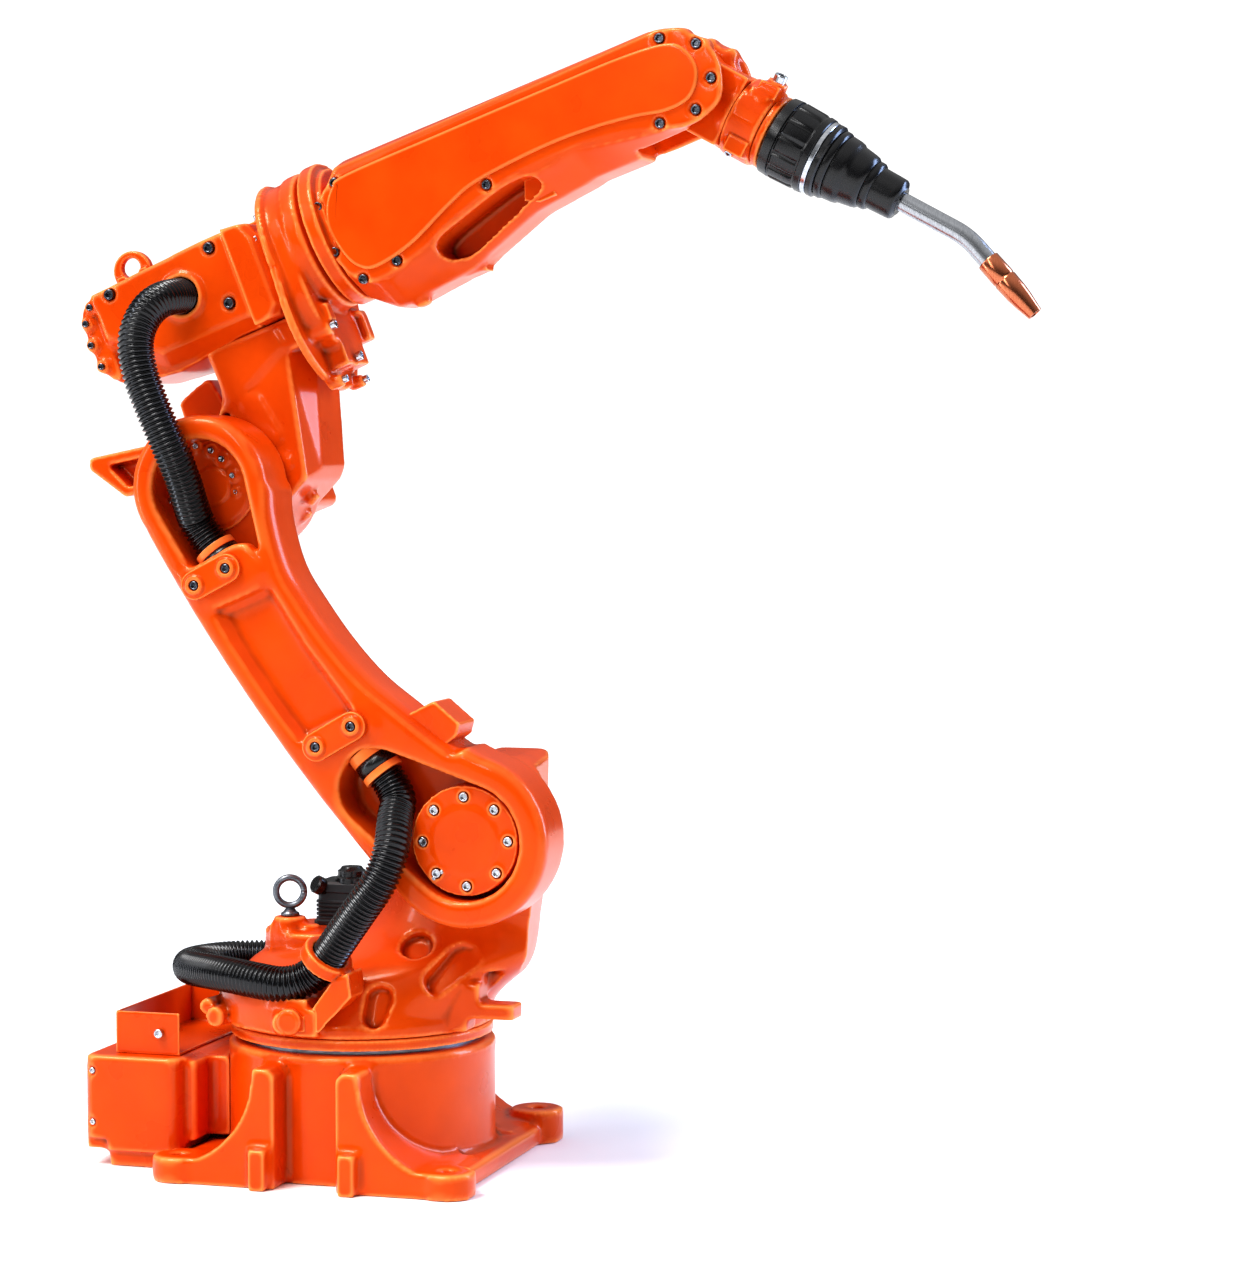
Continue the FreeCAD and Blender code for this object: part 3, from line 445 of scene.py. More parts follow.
def splineLine(points):
    curve = bpy.data.curves.new("route", "CURVE")
    curve.dimensions = "3D"
    curve.resolution_u = 16
    spline = curve.splines.new("NURBS")
    spline.points.add(len(points) - 1)
    for place, target in zip(points, spline.points):
        target.co = (*place, 1)
    spline.order_u = 3
    spline.use_endpoint_u = True
    holder = bpy.data.objects.new("route", curve)
    bpy.context.scene.collection.objects.link(holder)
    bpy.context.view_layer.update()
    mesh = bpy.data.meshes.new_from_object(holder.evaluated_get(bpy.context.evaluated_depsgraph_get()))
    line = [v.co.copy() for v in mesh.vertices]
    bpy.data.objects.remove(holder)
    bpy.data.curves.remove(curve)
    return line


def evenly(line, step):
    out, left, here = [line[0].copy()], step, line[0].copy()
    for target in line[1:]:
        run = (target - here).length
        while run >= left:
            here = here + (target - here).normalized() * left
            out.append(here.copy())
            run -= left
            left = step
        left -= run
        here = target.copy()
    return out


def corrugatedHose(name, route, look):
    wave = (0, 0, 0.4, 1, 1, 0.4)       # share of the groove's depth, ring by ring along one pitch
    line = evenly(splineLine(route), look["pitch"] / (1000 * len(wave)))
    radii = [(look["radius"] - look["groove"] * share) / 1000 for share in wave]
    side = (line[1] - line[0]).orthogonal().normalized()
    angles = [2 * math.pi * k / look["sides"] for k in range(look["sides"])]
    rings = []
    for i, here in enumerate(line):
        ahead = (line[min(i + 1, len(line) - 1)] - line[max(i - 1, 0)]).normalized()
        side = (side - ahead * side.dot(ahead)).normalized()
        other = ahead.cross(side)
        radius = radii[i % len(wave)]
        rings.append([(here + (side * math.cos(a) + other * math.sin(a)) * radius) * 1000 for a in angles])
    piece = meshObject(name, ringSolid(rings), ground)
    piece.data.materials.append(nylonHose)
    piece.data.polygons.foreach_set("use_smooth", [True] * len(piece.data.polygons))
    return piece


unionX, unionY = hoses["union"]
guidePlace = mm(*hoses["guide"])
guideAlong = (mm(*hoses["lower"][-1]) - guidePlace).normalized()

lowerRoute = [linkPoint(unionX, unionY, hoses["unionLow"] + hoses["unionGrip"]),
              linkPoint(unionX, unionY, hoses["unionLow"] - hoses["unionLead"])]
lowerRoute += [mm(*p) for p in hoses["lower"]] + [guidePlace]
hoseLower = corrugatedHose("hose_lower_corrugated", lowerRoute, hoses)
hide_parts("hose_lower")
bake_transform(hoseLower)

portX, portZ = hoses["port"]
upperRoute = [forearmPoint(portX, depth, portZ) for depth in hoses["portDepths"]]
upperRoute += [mm(*p) for p in hoses["upper"]]
upperRoute += [linkPoint(unionX, unionY, hoses["unionHigh"] + hoses["unionLead"]),
               linkPoint(unionX, unionY, hoses["unionHigh"] - hoses["unionGrip"])]
hoseUpper = corrugatedHose("hose_upper_corrugated", upperRoute, hoses)
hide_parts("hose_upper")
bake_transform(hoseUpper)

loopRoute = [guidePlace, guidePlace - guideAlong * hoses["guideLead"]] + [mm(*p) for p in hoses["loop"]]
hoseLoop = corrugatedHose("hose_loop_corrugated", loopRoute, hoses)
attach(hoseLoop, "turret")
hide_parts("hose_base_loop")
loopEnd = loopRoute[-1]
loopAlong = (loopRoute[-1] - loopRoute[-2]).normalized()
print("hoses made")


# screws: socket heads with their hexagon recess, sunk in a counterbore or standing on a boss
head = {"height": 0.62, "socket": 0.29, "sides": 24, "edge": 0.0003}     # the first two are shares


def socketHead(size):
    # along local Z from the seat; size is the head's diameter
    radius, tall, socket = size / 2, size * head["height"], size * head["socket"]

    def ring(reach, z, corners=False):
        out = []
        for i in range(head["sides"]):
            a = 2 * math.pi * i / head["sides"]
            spread = reach / math.cos((a + math.pi / 6) % (math.pi / 3) - math.pi / 6) if corners else reach
            out.append((spread * math.cos(a), spread * math.sin(a), z))
        return out

    return ringSolid([ring(radius, 0), ring(radius, tall * 0.86), ring(radius * 0.93, tall),
                      ring(socket * 1.12, tall),
                      ring(socket, tall * 0.92, True), ring(socket, tall * 0.35, True)])


def screws(name, body, heads, metal):
    # heads is a list of (x, y, z, direction, diameter)
    shapes = [moved(socketHead(size), lookAlong((x, y, z), direction)) for x, y, z, direction, size in heads]
    piece = meshObject(name, joined(shapes), places[body])
    bevelled(piece, head["edge"], 1)
    return finished(piece, body, metal, smooth=False)


near, far, top, ahead = (0, -1, 0), (0, 1, 0), (0, 0, 1), (1, 0, 0)


def bores(places, radius, face, depth, direction=near):
    # counterbores into a face square to Y
    step = Vector(direction)
    return [rod(radius, (x, face + step.y * 6, z), (x, face - step.y * depth, z)) for x, z in places]


def bosses(places, radius, face, height, direction=near):
    step = Vector(direction)
    return [rod(radius, (x, face - step.y * 4, z), (x, face + step.y * height, z)) for x, z in places]


def rods(items):
    # each item is (radius, start, end)
    return [rod(*item) for item in items]


def blocks(items):
    return [block(*item) for item in items]


# in the dictionaries below, a grid is the casting's mesh size and how many times its edges are eased

# base: drum and four feet with their ribs
base = {
    "grid": (3.5, 4),
    "rim": [(0, 158.4), (5, 158.4)], "rimLevel": 138,
    "dowel": (186, 148), "dowelRadius": 4.5, "dowelLevels": (10, 40),
}
dowelX, dowelY = base["dowel"]
casting("base_cast", "base", ["base_casting"], base["grid"],
        extras=[turnedShape(base["rim"], (0, 0, base["rimLevel"]), top, 96)],
        cuts=[rod(base["dowelRadius"], *[(sideX * dowelX, sideY * dowelY, z) for z in base["dowelLevels"]])
              for sideX in (-1, 1) for sideY in (-1, 1)])

# connector box behind the drum, its folded tray and the plugs of the rear panel
box = {
    "grid": (3.4, 3), "face": 130, "screws": [(-291, 113), (-291, 52)], "screwBore": 5, "screwSize": 7,
    "notches": [(-310, -271, -140, -124, 12, 34), (-310, -271, 124, 140, 12, 34)],
    "trayGrid": (1.3, 3), "traySkip": 0.2, "traySide": (-212, 110, 158), "trayScrew": 11,
    "panel": ([(-110, 31), (110, 31), (110, 121), (-110, 121)], 6, 302.4, 306.2),
    "plugAt": (-305, 76), "plugs": (-25, 25, 70), "blanked": -70,
    "plug": [(0, 16), (0, 17), (4, 17), (5, 15), (8, 15), (9, 17), (17, 17), (18, 15), (26, 15), (26, 12),
             (8, 11.5)],
    "blank": [(0, 16), (0, 17), (5, 17), (7, 15), (8, 4)],
}
boxFace, boxBore = box["face"], box["screwBore"]
casting("connector_box_cast", "base", ["connector_box"], box["grid"],
        cuts=bores(box["screws"], boxBore, -boxFace, 8) + bores(box["screws"], boxBore, boxFace, 8, far)
        + blocks(box["notches"]))
cableTray = casting("cable_tray_sheet", "base", ["cable_tray"], box["trayGrid"])
modifier(cableTray, "DECIMATE", ratio=box["traySkip"])
trayX, trayY, trayZ = box["traySide"]
screws("box_screws", "base",
       [(x, (boxFace - 5) * side, z, (0, side, 0), box["screwSize"])
        for x, z in box["screws"] for side in (-1, 1)]
       + [(trayX, side * trayY, trayZ, (0, side, 0), box["trayScrew"]) for side in (-1, 1)], zincSteel)
panelPlate = moved(roundedSlab(*box["panel"]), Matrix.Rotation(math.pi / 2, 4, "Z"))
plugX, plugZ = box["plugAt"]
plugShapes = [turnedShape(box["blank"] if y == box["blanked"] else box["plug"], (plugX, y, plugZ),
                          (-1, 0, 0)) for y in (box["blanked"], *box["plugs"])]
rearPanel = meshObject("rear_connector_panel", joined([panelPlate] + plugShapes), ground)
finished(rearPanel, "base", phenolic, ["rear_panel"])
modifier(rearPanel, "EDGE_SPLIT", split_angle=0.6)
print("base made")

# turret: the leaning body, its cable platform with bosses, the ring under it and the hose's gland
turret = {
    "grid": (3.0, 4), "ringGrid": (2.6, 3),
    "platformBosses": [(-132, -104, 184, 12), (-150, -84, 192, 10)],
    "platform": (118, 168, 212, 268, 176, 216),     # radii, angles and levels
    "studs": [(13, (-34, -150, 188), (-34, -173, 188)), (14, (-78, -34, 250), (-78, -34, 292)),
              (28, (-111, 92, 222), (-40, 100, 222)), (11, (-52, -34, 250), (-52, -34, 284))],
    "pads": [(-100, -52, -46, -22, 250, 284), (112, 206, 20, 84, 440, 482), (118, 128, 12, 84, 476, 487),
             (150, 160, 12, 84, 476, 487), (182, 192, 12, 84, 476, 487)],
    # from above
    "flatSide": [(250, -57), (218, -14), (210, 60), (199, 92), (190, 150), (420, 150), (420, -57)],
    # level, and how far the flat side moves there
    "flatLean": [(182, -26), (270, -10), (350, 0), (530, 4)],
    "trims": [(90, 300, -20, 140, 487.5, 530), (172, 232, -92, -40, 206, 240)],
    "guideGrid": (1.8, 4), "guideFoot": (12, (-24, -179, 191), (-24, -160, 191)),
    "gland": [(0, 21.6), (0, 25), (3, 27), (12, 27), (15, 30), (22, 30), (24, 28), (24, 21.6)],
    "glandBack": 0.022,
}
cableGland = meshObject("cable_gland", turnedShape(
    turret["gland"], (loopEnd - loopAlong * turret["glandBack"]) * 1000, loopAlong, 48), ground)
finished(cableGland, "turret", phenolic)
modifier(cableGland, "EDGE_SPLIT", split_angle=0.6)
casting("turret_ring_cast", "turret", ["turret_ring"], turret["ringGrid"])
casting("turret_cast", "turret", ["turret_casting", "cable_shelf"], turret["grid"],
        extras=[rod(r, (x, y, z), (x - 4, y - 26, z)) for x, y, z, r in turret["platformBosses"]]
        + [sector(*turret["platform"])] + rods(turret["studs"]) + blocks(turret["pads"]),
        cuts=[ringSolid([[(x + shift, y, z) for x, y in turret["flatSide"]]
                         for z, shift in turret["flatLean"]])] + blocks(turret["trims"]))
casting("hose_guide_cast", "turret", ["hose_guide"], turret["guideGrid"],
        extras=[rod(*turret["guideFoot"])])

# shoulder gearcase on the far side: a square plate, a round cover and four screws
gear = {
    "grid": (2.5, 3), "centre": (150, 402), "coverRadius": 44, "coverFaces": (96, 120), "coverSides": 64,
    "plate": ([(108, 350), (108, 468), (196, 468), (196, 350)], 18, 86.5, 99),
    "screwReach": (38, 38 * 1.35), "screwSize": 9,
}
caseX, caseZ = gear["centre"]
plateFace = gear["plate"][-1]
gearcase = casting(
    "shoulder_gearcase_cast", "turret", [], gear["grid"],
    extras=[roundedSlab(*gear["plate"]),
            rod(gear["coverRadius"], *[(caseX, y, caseZ) for y in gear["coverFaces"]],
                gear["coverSides"])])
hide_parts("shoulder_gearcase")
reachX, reachZ = gear["screwReach"]
screws("gearcase_screws", "turret",
       [(caseX + reachX * math.cos(a), plateFace, caseZ + reachZ * math.sin(a), far, gear["screwSize"])
        for a in [math.radians(45 + 90 * i) for i in range(4)]], screwSteel)

# servo motors: finned square body, end cap and a plug housing
motor = {
    "finPitch": 5, "finWidth": 3, "finDepth": 2, "finnedShare": 0.55, "corner": 0.28, "edge": 0.0006,
    "slewCentre": (-38, 42, 0), "slewHalf": 28, "slewHeight": 52,
    "shoulderBack": 38, "shoulderHalf": 36, "shoulderStart": 120.4,
    "cap": [(0, 17), (0, 20), (6, 20), (8, 17), (14, 17), (16, 14), (19, 12)], "capAt": (-26, 34, 50),
    "socket": [(0, 8), (10, 9), (12, 11), (20, 11), (22, 9)], "socketAt": (-52, 26, 40),
    "socketAlong": (-0.5, -0.6, 0.4),
}


def ribbedMotor(name, node, centre, half, start, end, direction):
    place = lookAlong(centre, direction)
    long = end - start
    pitch, groove = motor["finPitch"], half - motor["finDepth"]
    fins = []
    for i in range(int(long * motor["finnedShare"] / pitch)):
        at = start + long * 0.12 + i * pitch
        fins += [(at, half), (at + motor["finWidth"], half), (at + motor["finWidth"] + 0.2, groove),
                 (at + pitch - 0.2, groove)]
    profile = [(start, half - 6), (start, half + 2), (start + long * 0.1, half + 2),
               (start + long * 0.11, half)] + fins
    profile += [(end - long * 0.26, groove), (end - long * 0.25, half), (end - 3, half), (end, half - 3)]
    square = roundedOutline([(-1, -1), (1, -1), (1, 1), (-1, 1)], motor["corner"])
    rings = [[(r * x, r * y, at) for x, y in square] for at, r in profile]
    front, back = end - long * 0.36, end - long * 0.08
    plug = [[(x * 12 + 2, -half - y, z) for x, z in ((-1, front), (1, front), (1, back), (-1, back))]
            for y in (-4, 10, 12)]
    piece = meshObject(name, joined([moved(ringSolid(rings), place), moved(ringSolid(plug), place)]), ground)
    bevelled(piece, motor["edge"])
    return finished(piece, "turret", motorBlack, [node], smooth=False)


# forged eye bolt: a round ring on a collar
eye = {"ringRadius": 16.5, "wireRadius": 4, "ringDrop": 20.5, "turn": (0.957, 0.29), "steps": 64,
       "wireSteps": 20,
             "collar": [(0, 9), (0, 11), (3, 11), (5, 8), (9, 5)]}
eyeLow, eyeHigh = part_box("eye_bolt")
eyeX, eyeY = [(low + high) * 500 for low, high in zip(eyeLow[:2], eyeHigh[:2])]
turnX, turnY = eye["turn"]
eyeRing = []
for i in range(eye["steps"]):
    a = 2 * math.pi * i / eye["steps"]
    spoke = Vector((turnX * math.cos(a), turnY * math.cos(a), math.sin(a)))
    across = Vector((-turnY, turnX, 0))
    centre = Vector((eyeX, eyeY, eyeHigh[2] * 1000 - eye["ringDrop"])) + spoke * eye["ringRadius"]
    wire = eye["wireRadius"]
    eyeRing.append([tuple(centre + spoke * wire * math.cos(t) + across * wire * math.sin(t))
                    for t in [2 * math.pi * k / eye["wireSteps"] for k in range(eye["wireSteps"])]])
eyeBolt = meshObject("eye_bolt_forged", joined([
    ringSolid(eyeRing + eyeRing[:1]),
    turnedShape(eye["collar"], (eyeX, eyeY, eyeLow[2] * 1000), top, 32)]), ground)
finished(eyeBolt, "turret", groundSteel, ["eye_bolt"])

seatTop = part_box("turret_motor")[0][2] * 1000
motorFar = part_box("shoulder_motor")[1][1] * 1000
ribbedMotor("turret_motor_finned", "turret_motor", motor["slewCentre"], motor["slewHalf"], seatTop,
            seatTop + motor["slewHeight"], top)
capX, capY, capZ = motor["capAt"]
socketX, socketY, socketZ = motor["socketAt"]
motorCap = meshObject("turret_motor_plug", joined([
    turnedShape(motor["cap"], (capX, capY, seatTop + capZ), top, 32),
    turnedShape(motor["socket"], (socketX, socketY, seatTop + socketZ), motor["socketAlong"], 24)]), ground)
finished(motorCap, "turret", phenolic)
modifier(motorCap, "EDGE_SPLIT", split_angle=0.7)
ribbedMotor("shoulder_motor_finned", "shoulder_motor", (caseX - motor["shoulderBack"], 0, caseZ),
            motor["shoulderHalf"], motor["shoulderStart"], motorFar, far)
print("turret made")

# lower arm: rimmed link with two pockets, and saddles for the hose clamps
arm = {
    "grid": (3.2, 9),
    "frontEdge": smoothOutline([(96, 500), (86, 487), (74, 457), (53, 426), (31, 374), (25, 322), (23, 271),
                                (27, 216),
                                # front of the link, from the elbow down
                                (38, 170), (62, 84), (92, 20)], 4)[:-7],
    "frontRound": [(-146, -16), (-139, -11), (-132, -5), (-122, -1), (-100, 0), (-72, 0), (-56, -6)],
    "frontOutside": [(260, 20), (260, 500)],
    "pocket": [(-71, 390), (1, 369), (-3, 330), (-7, 289), (-7, 240), (-8, 189), (-82, 204), (-83, 240),
               (-82, 270),
               (-80, 310), (-77, 350)],
    "pocketFaces": (-150, -133),
    "pocketFloor": [(-65, 380), (-4, 363), (-8, 329), (-12, 289), (-12, 240), (-13, 195), (-76, 209),
                    (-77, 240),
                    (-76, 270), (-74, 309), (-71, 345)],
    "floorFaces": (-134, -126.5),
    "saddleHigh": [(-84, 448), (-4, 434), (12, 424), (8, 388), (-8, 376), (-66, 388), (-80, 408)],
    "saddleLow": [(-82, 212), (-4, 200), (10, 190), (4, 158), (-14, 154), (-66, 162), (-80, 178)],
    "saddleFaces": [(-143, -118), (-142, -118)], "saddleCorner": 12,
    "web": [(-90, 404), (12, 380), (4, 180), (-94, 190)], "webFaces": (-139.5, -118),
    "stopGrid": (2.2, 4), "stop": [(24, 156), (40, 153), (72, 146), (80, 107), (68, 98), (30, 100)],
    "stopFaces": (-128, -72),
}
saddles = [slab(roundedOutline(arm[side], arm["saddleCorner"]), *faces)
           for side, faces in zip(("saddleHigh", "saddleLow"), arm["saddleFaces"])]
casting("lower_arm_cast", "lower_arm", ["arm_casting"], arm["grid"],
        extras=saddles + [slab(arm["web"], *arm["webFaces"])],
        cuts=[ringSolid([[(x + shift, y, z) for x, z in arm["frontEdge"]]
                         + [(x, y, z) for x, z in arm["frontOutside"]] for y, shift in arm["frontRound"]]),
              slab(arm["pocket"], *arm["pocketFaces"]),
              slab(arm["pocketFloor"], *arm["floorFaces"])])
casting("stop_block_cast", "lower_arm", [], arm["stopGrid"],
        extras=[slab(arm["stop"], *arm["stopFaces"])])

# hose clamps: a bar with a round pad and a screw at each end
hoseClamp = {
    "low": [(-67, 189), (-18, 181)], "high": [(-67, 424), (-24, 415)], "width": 17, "pad": 11,
    "back": -141, "face": -150, "padFace": -153, "bore": 6.2, "boreDepth": 9, "grid": 0.0013,
    "roughGrid": 0.0014,
    "screwAt": -146, "screwSize": 10,
}


def clampBar(ends):
    (xa, za), (xb, zb) = ends
    back, face, padFace, width = [hoseClamp[key] for key in ("back", "face", "padFace", "width")]
    bar = joined(rods([(width, (x, back, z), (x, face, z)) for x, z in ends]
                      + [(hoseClamp["pad"], (x, back, z), (x, padFace, z)) for x, z in ends]))
    run = Vector((xb - xa, zb - za)).normalized()
    flat = Vector((-run.y, run.x)) * width
    middle = slab([(xa + flat.x, za + flat.y), (xa - flat.x, za - flat.y), (xb - flat.x, zb - flat.y),
                   (xb + flat.x, zb + flat.y)], back, face)
    return joined([bar, middle])


def clamp(name, node, ends):
    piece = meshObject(name, clampBar(ends), linkFrame)
    modifier(piece, "REMESH", mode="VOXEL", voxel_size=hoseClamp["roughGrid"])
    applyModifiers(piece)
    holes = joined(bores(ends, hoseClamp["bore"], hoseClamp["padFace"], hoseClamp["boreDepth"]))
    tool = meshObject(name + "_tool", holes, linkFrame)
    modifier(piece, "BOOLEAN", operation="DIFFERENCE", solver="MANIFOLD", object=tool)
    modifier(piece, "REMESH", mode="VOXEL", voxel_size=hoseClamp["grid"])
    modifier(piece, "SMOOTH", factor=0.5, iterations=4)
    applyModifiers(piece)
    bpy.data.objects.remove(tool)
    return finished(piece, "lower_arm", orangeEnamel, [node])


clamp("clamp_lower_cast", "clamp_lower", hoseClamp["low"])
clamp("clamp_upper_cast", "clamp_upper", hoseClamp["high"])
screws("clamp_screws", "lower_arm",
       [(x, hoseClamp["screwAt"], z, near, hoseClamp["screwSize"])
        for x, z in hoseClamp["low"] + hoseClamp["high"]], screwSteel)

# bearing covers at both ends of the arm, and the unions that hold the hose ends
disc = {
    "grid": (1.8, 3), "bolts": 8, "firstBolt": 8, "boltCircle": 51, "boltDrop": 1, "boss": 8.6, "bore": 6.4,
    "face": -126, "boreFrom": -127, "screwAt": -121.5, "screwSize": 10.5,
    "oilPad": (-60, -38, -127.6, -120, -16, -6), "oilScrews": [(-56, -11), (-44, -11)], "oilScrewSize": 4.5,
    "elbowGrid": (1.7, 3), "elbowStep": [(0, 54), (3, 54)], "elbowAt": (2, -86.4, 513),
    "elbowFaces": (-88, -92.5),
    "elbowBosses": [(33, 529, 9), (29, 545, 8), (31, 506, 7), (22, 489, 5), (17, 561, 7), (-42, 552, 5),
                    (-50, 533, 9),
                    (-52, 499, 5), (-36, 476, 6)],
    "elbowScrewAt": -91, "elbowScrewMost": 8,
}
boltAngles = [math.radians(disc["firstBolt"] + 360 / disc["bolts"] * i) for i in range(disc["bolts"])]
boltPlaces = [(disc["boltCircle"] * math.cos(a), disc["boltCircle"] * math.sin(a) - disc["boltDrop"])
              for a in boltAngles]
casting("shoulder_disc_cast", "lower_arm", ["shoulder_disc"], disc["grid"],
        extras=bosses(boltPlaces, disc["boss"], disc["face"], 1.2) + [block(*disc["oilPad"])],
        cuts=bores(boltPlaces, disc["bore"], disc["boreFrom"], 6))
screws("shoulder_disc_screws", "lower_arm",
       [(x, disc["screwAt"], z, near, disc["screwSize"]) for x, z in boltPlaces]
       + [(x, disc["face"], z, near, disc["oilScrewSize"]) for x, z in disc["oilScrews"]], zincSteel)
casting("elbow_disc_cast", "lower_arm", ["elbow_disc"], disc["elbowGrid"],
        extras=[turnedShape(disc["elbowStep"], disc["elbowAt"], near, 64)]
        + [rod(r, *[(x, y, z) for y in disc["elbowFaces"]]) for x, z, r in disc["elbowBosses"]])
screws("elbow_disc_screws", "lower_arm",
       [(x, disc["elbowScrewAt"], z, near, min(disc["elbowScrewMost"], r))
        for x, z, r in disc["elbowBosses"]], zincSteel)
unions = {
    "ends": {"lower": ("fitting_lower", hoses["unionLow"], 1),
             "upper": ("fitting_upper", hoses["unionHigh"], -1)},
    "collar": [(1, 21.8), (1, 24.8), (9, 24.8), (10, 23.6), (24, 23.6), (25, 24.8), (37, 24.8), (37, 20)],
    "sleeve": [(9.5, 22), (9.5, 24.2), (16, 24.6), (24.5, 24.2), (24.5, 22)], "sides": 64, "edge": 0.0006,
}
for label, (node, start, way) in unions["ends"].items():
    seat, along = (unionX, unionY, start), (0, 0, way)
    collar = meshObject(f"union_{label}_collar", turnedShape(unions["collar"], seat, along, unions["sides"]),
                        linkFrame)
    bevelled(collar, unions["edge"])
    finished(collar, "lower_arm", orangeEnamel, [node], smooth=False)
    sleeve = meshObject(f"union_{label}_sleeve", turnedShape(unions["sleeve"], seat, along, unions["sides"]),
                        linkFrame)
    finished(sleeve, "lower_arm", phenolic)
print("lower arm made")

# elbow: hub and web with its cast pads, and the motor behind
elbow = {
    "grid": (3.0, 6), "motorGrid": (2.6, 3),
    "lipPad": ([(40, -77), (128, -77), (134, -104), (44, -146)], 6, -58.6, -50),
    "ribPad": ([(57, -137), (82, -143), (94, -206), (64, -206)], 10, -58.6, -50),
    "studs": [(9, (84, -50, -231), (84, -58.6, -231)), (9, (72, 0, -262), (82, 0, -280)),
              (9, (48, 30, -276), (54, 30, -292))],
    "farPad": ([(-45, -104), (2, -90), (14, -150), (-50, -150)], 8, 18, 58),
    "hole": (5.5, (34, -64, -154), (34, -44, -154)),
    "frontBevel": [(134.5, 153, -112), (100, 106, -264)],    # near edge, far edge, height
    "bevelFaces": (-56, -14, -70), "bevelReach": 20,
}
lipFace, frontFace, outside = elbow["bevelFaces"]
casting("elbow_cast", "elbow", ["elbow_casting"], elbow["grid"],
        extras=[roundedSlab(*elbow["lipPad"]), roundedSlab(*elbow["ribPad"])]
        + rods(elbow["studs"])
        + [roundedSlab(*elbow["farPad"])],
        cuts=[rod(*elbow["hole"]),
              ringSolid([[(edge, lipFace, z), (front, frontFace, z),
                          (front + elbow["bevelReach"], frontFace, z),
                          (front + elbow["bevelReach"], outside, z), (edge, outside, z)]
                         for edge, front, z in elbow["frontBevel"]])])
casting("elbow_motor_cast", "elbow", ["elbow_motor"], elbow["motorGrid"])

# rear gear housing with its tail, the screwed cap and the port that takes the hose
rear = {
    "grid": (2.7, 4),
    "tail": ([(-60, 30), (-86, 20), (-88, -40), (-76, -68), (-50, -78), (0, -84), (60, -78), (112, -70),
              (100, -30)], 9, -57, 56),
    "cap": ([(-66, 36), (-84, 28), (-92, 8), (-90, -44), (-78, -64), (-66, -66)], 6, -67, 60),
    "capBosses": [(-84, 10), (-87, -16), (-84, -44), (-72, 26)], "capBoss": 8,
    "bossFaces": [(-71, -52), (48, 64)],
    "portLip": [(0, 25), (3.5, 24.5)], "portFaces": (-84, -63), "portBore": 21.6,
    "screws": [(95, 33), (-42, 30), (95, -36)], "face": -75, "bore": 7.5, "boreDepth": 7,
    "screwAt": -70, "screwSize": 12.5, "capScrewSize": 8,
}
casting("rear_housing_cast", "elbow", ["rear_housing", "rear_cap"], rear["grid"],
        extras=[roundedSlab(*rear["tail"]), roundedSlab(*rear["cap"]),
                turnedShape(rear["portLip"], (portX, rear["face"], portZ), near, 48)]
        + [rod(rear["capBoss"], (x, start, z), (x, end, z))
           for start, end in rear["bossFaces"] for x, z in rear["capBosses"]],
        cuts=bores(rear["screws"], rear["bore"], rear["face"], rear["boreDepth"])
        + [rod(rear["portBore"], *[(portX, y, portZ) for y in rear["portFaces"]])])
screws("rear_housing_screws", "elbow",
       [(x, rear["screwAt"], z, near, rear["screwSize"]) for x, z in rear["screws"]]
       + [(x, rear["screwAt"], z, near, rear["capScrewSize"]) for x, z in rear["capBosses"]],
       screwSteel)

# collar block, and the drive flange with its lugs that carries the forearm
drive = {
    "collarGrid": (2.7, 4), "collarSide": ([(146, 38), (164, 20), (172, -8), (164, -58), (146, -66)], 6, -77,
                                           -30), "collarPad": (116, 170, 8, 56, 24, 57),
    "collarStuds": [(9, (158, 34, 50), (158, 34, 62)), (9, (126, 34, 50), (126, 34, 62))],
    "collarScrews": [(154, -77, 20, near, 6), (151, -77, -46, near, 6), (158, 34, 61, top, 11),
                     (126, 34, 61, top, 11)],
    # lugs lean in by this share
    "grid": (2.8, 5), "screws": [(-56, -104), (-8, -142), (52, -112)], "draw": 0.98,
    "lug": 10, "lugFaces": (170, 196), "foot": 8, "feet": (-34, 34), "footLevel": -164,
    "footFaces": (160, 180),
    "pads": [(172, 204, 34, 60, -122, -84), (172, 202, -62, -44, -98, -76)],
    "shoulder": [(0, 86), (8, 86)], "shoulderAt": (160, 0, 0), "trim": (193.5, 214, -40, 40, -160, -88),
    "screwSize": 11, "footScrewSize": 9,
    "bracketGrid": (2.6, 4), "eyeGrid": (1.6, 4),
}
casting("collar_block_cast", "elbow", ["collar_block"], drive["collarGrid"],
        extras=[roundedSlab(*drive["collarSide"]), block(*drive["collarPad"])] + rods(drive["collarStuds"]))
screws("collar_screws", "elbow", drive["collarScrews"], zincSteel)
lugBack, lugFace = drive["lugFaces"]
footBack, footFace = drive["footFaces"]
draw, footLevel = drive["draw"], drive["footLevel"]
casting("wrist_drive_cast", "elbow", ["wrist_drive"], drive["grid"],
        extras=[rod(drive["lug"], (lugBack, y, z), (lugFace, y * draw, z)) for y, z in drive["screws"]]
        + [rod(drive["foot"], (footBack, y, footLevel), (footFace, y, footLevel)) for y in drive["feet"]]
        + blocks(drive["pads"])
        + [turnedShape(drive["shoulder"], drive["shoulderAt"], ahead, 80)],
        cuts=[block(*drive["trim"])])
screws("wrist_drive_screws", "elbow",
       [(lugFace, y * draw, z, ahead, drive["screwSize"]) for y, z in drive["screws"]]
       + [(footFace, y, footLevel, ahead, drive["footScrewSize"]) for y in drive["feet"]], zincSteel)
casting("motor_bracket_cast", "elbow", ["motor_bracket"], drive["bracketGrid"])
casting("lifting_eye_cast", "elbow", ["lifting_eye"], drive["eyeGrid"])
print("elbow made")

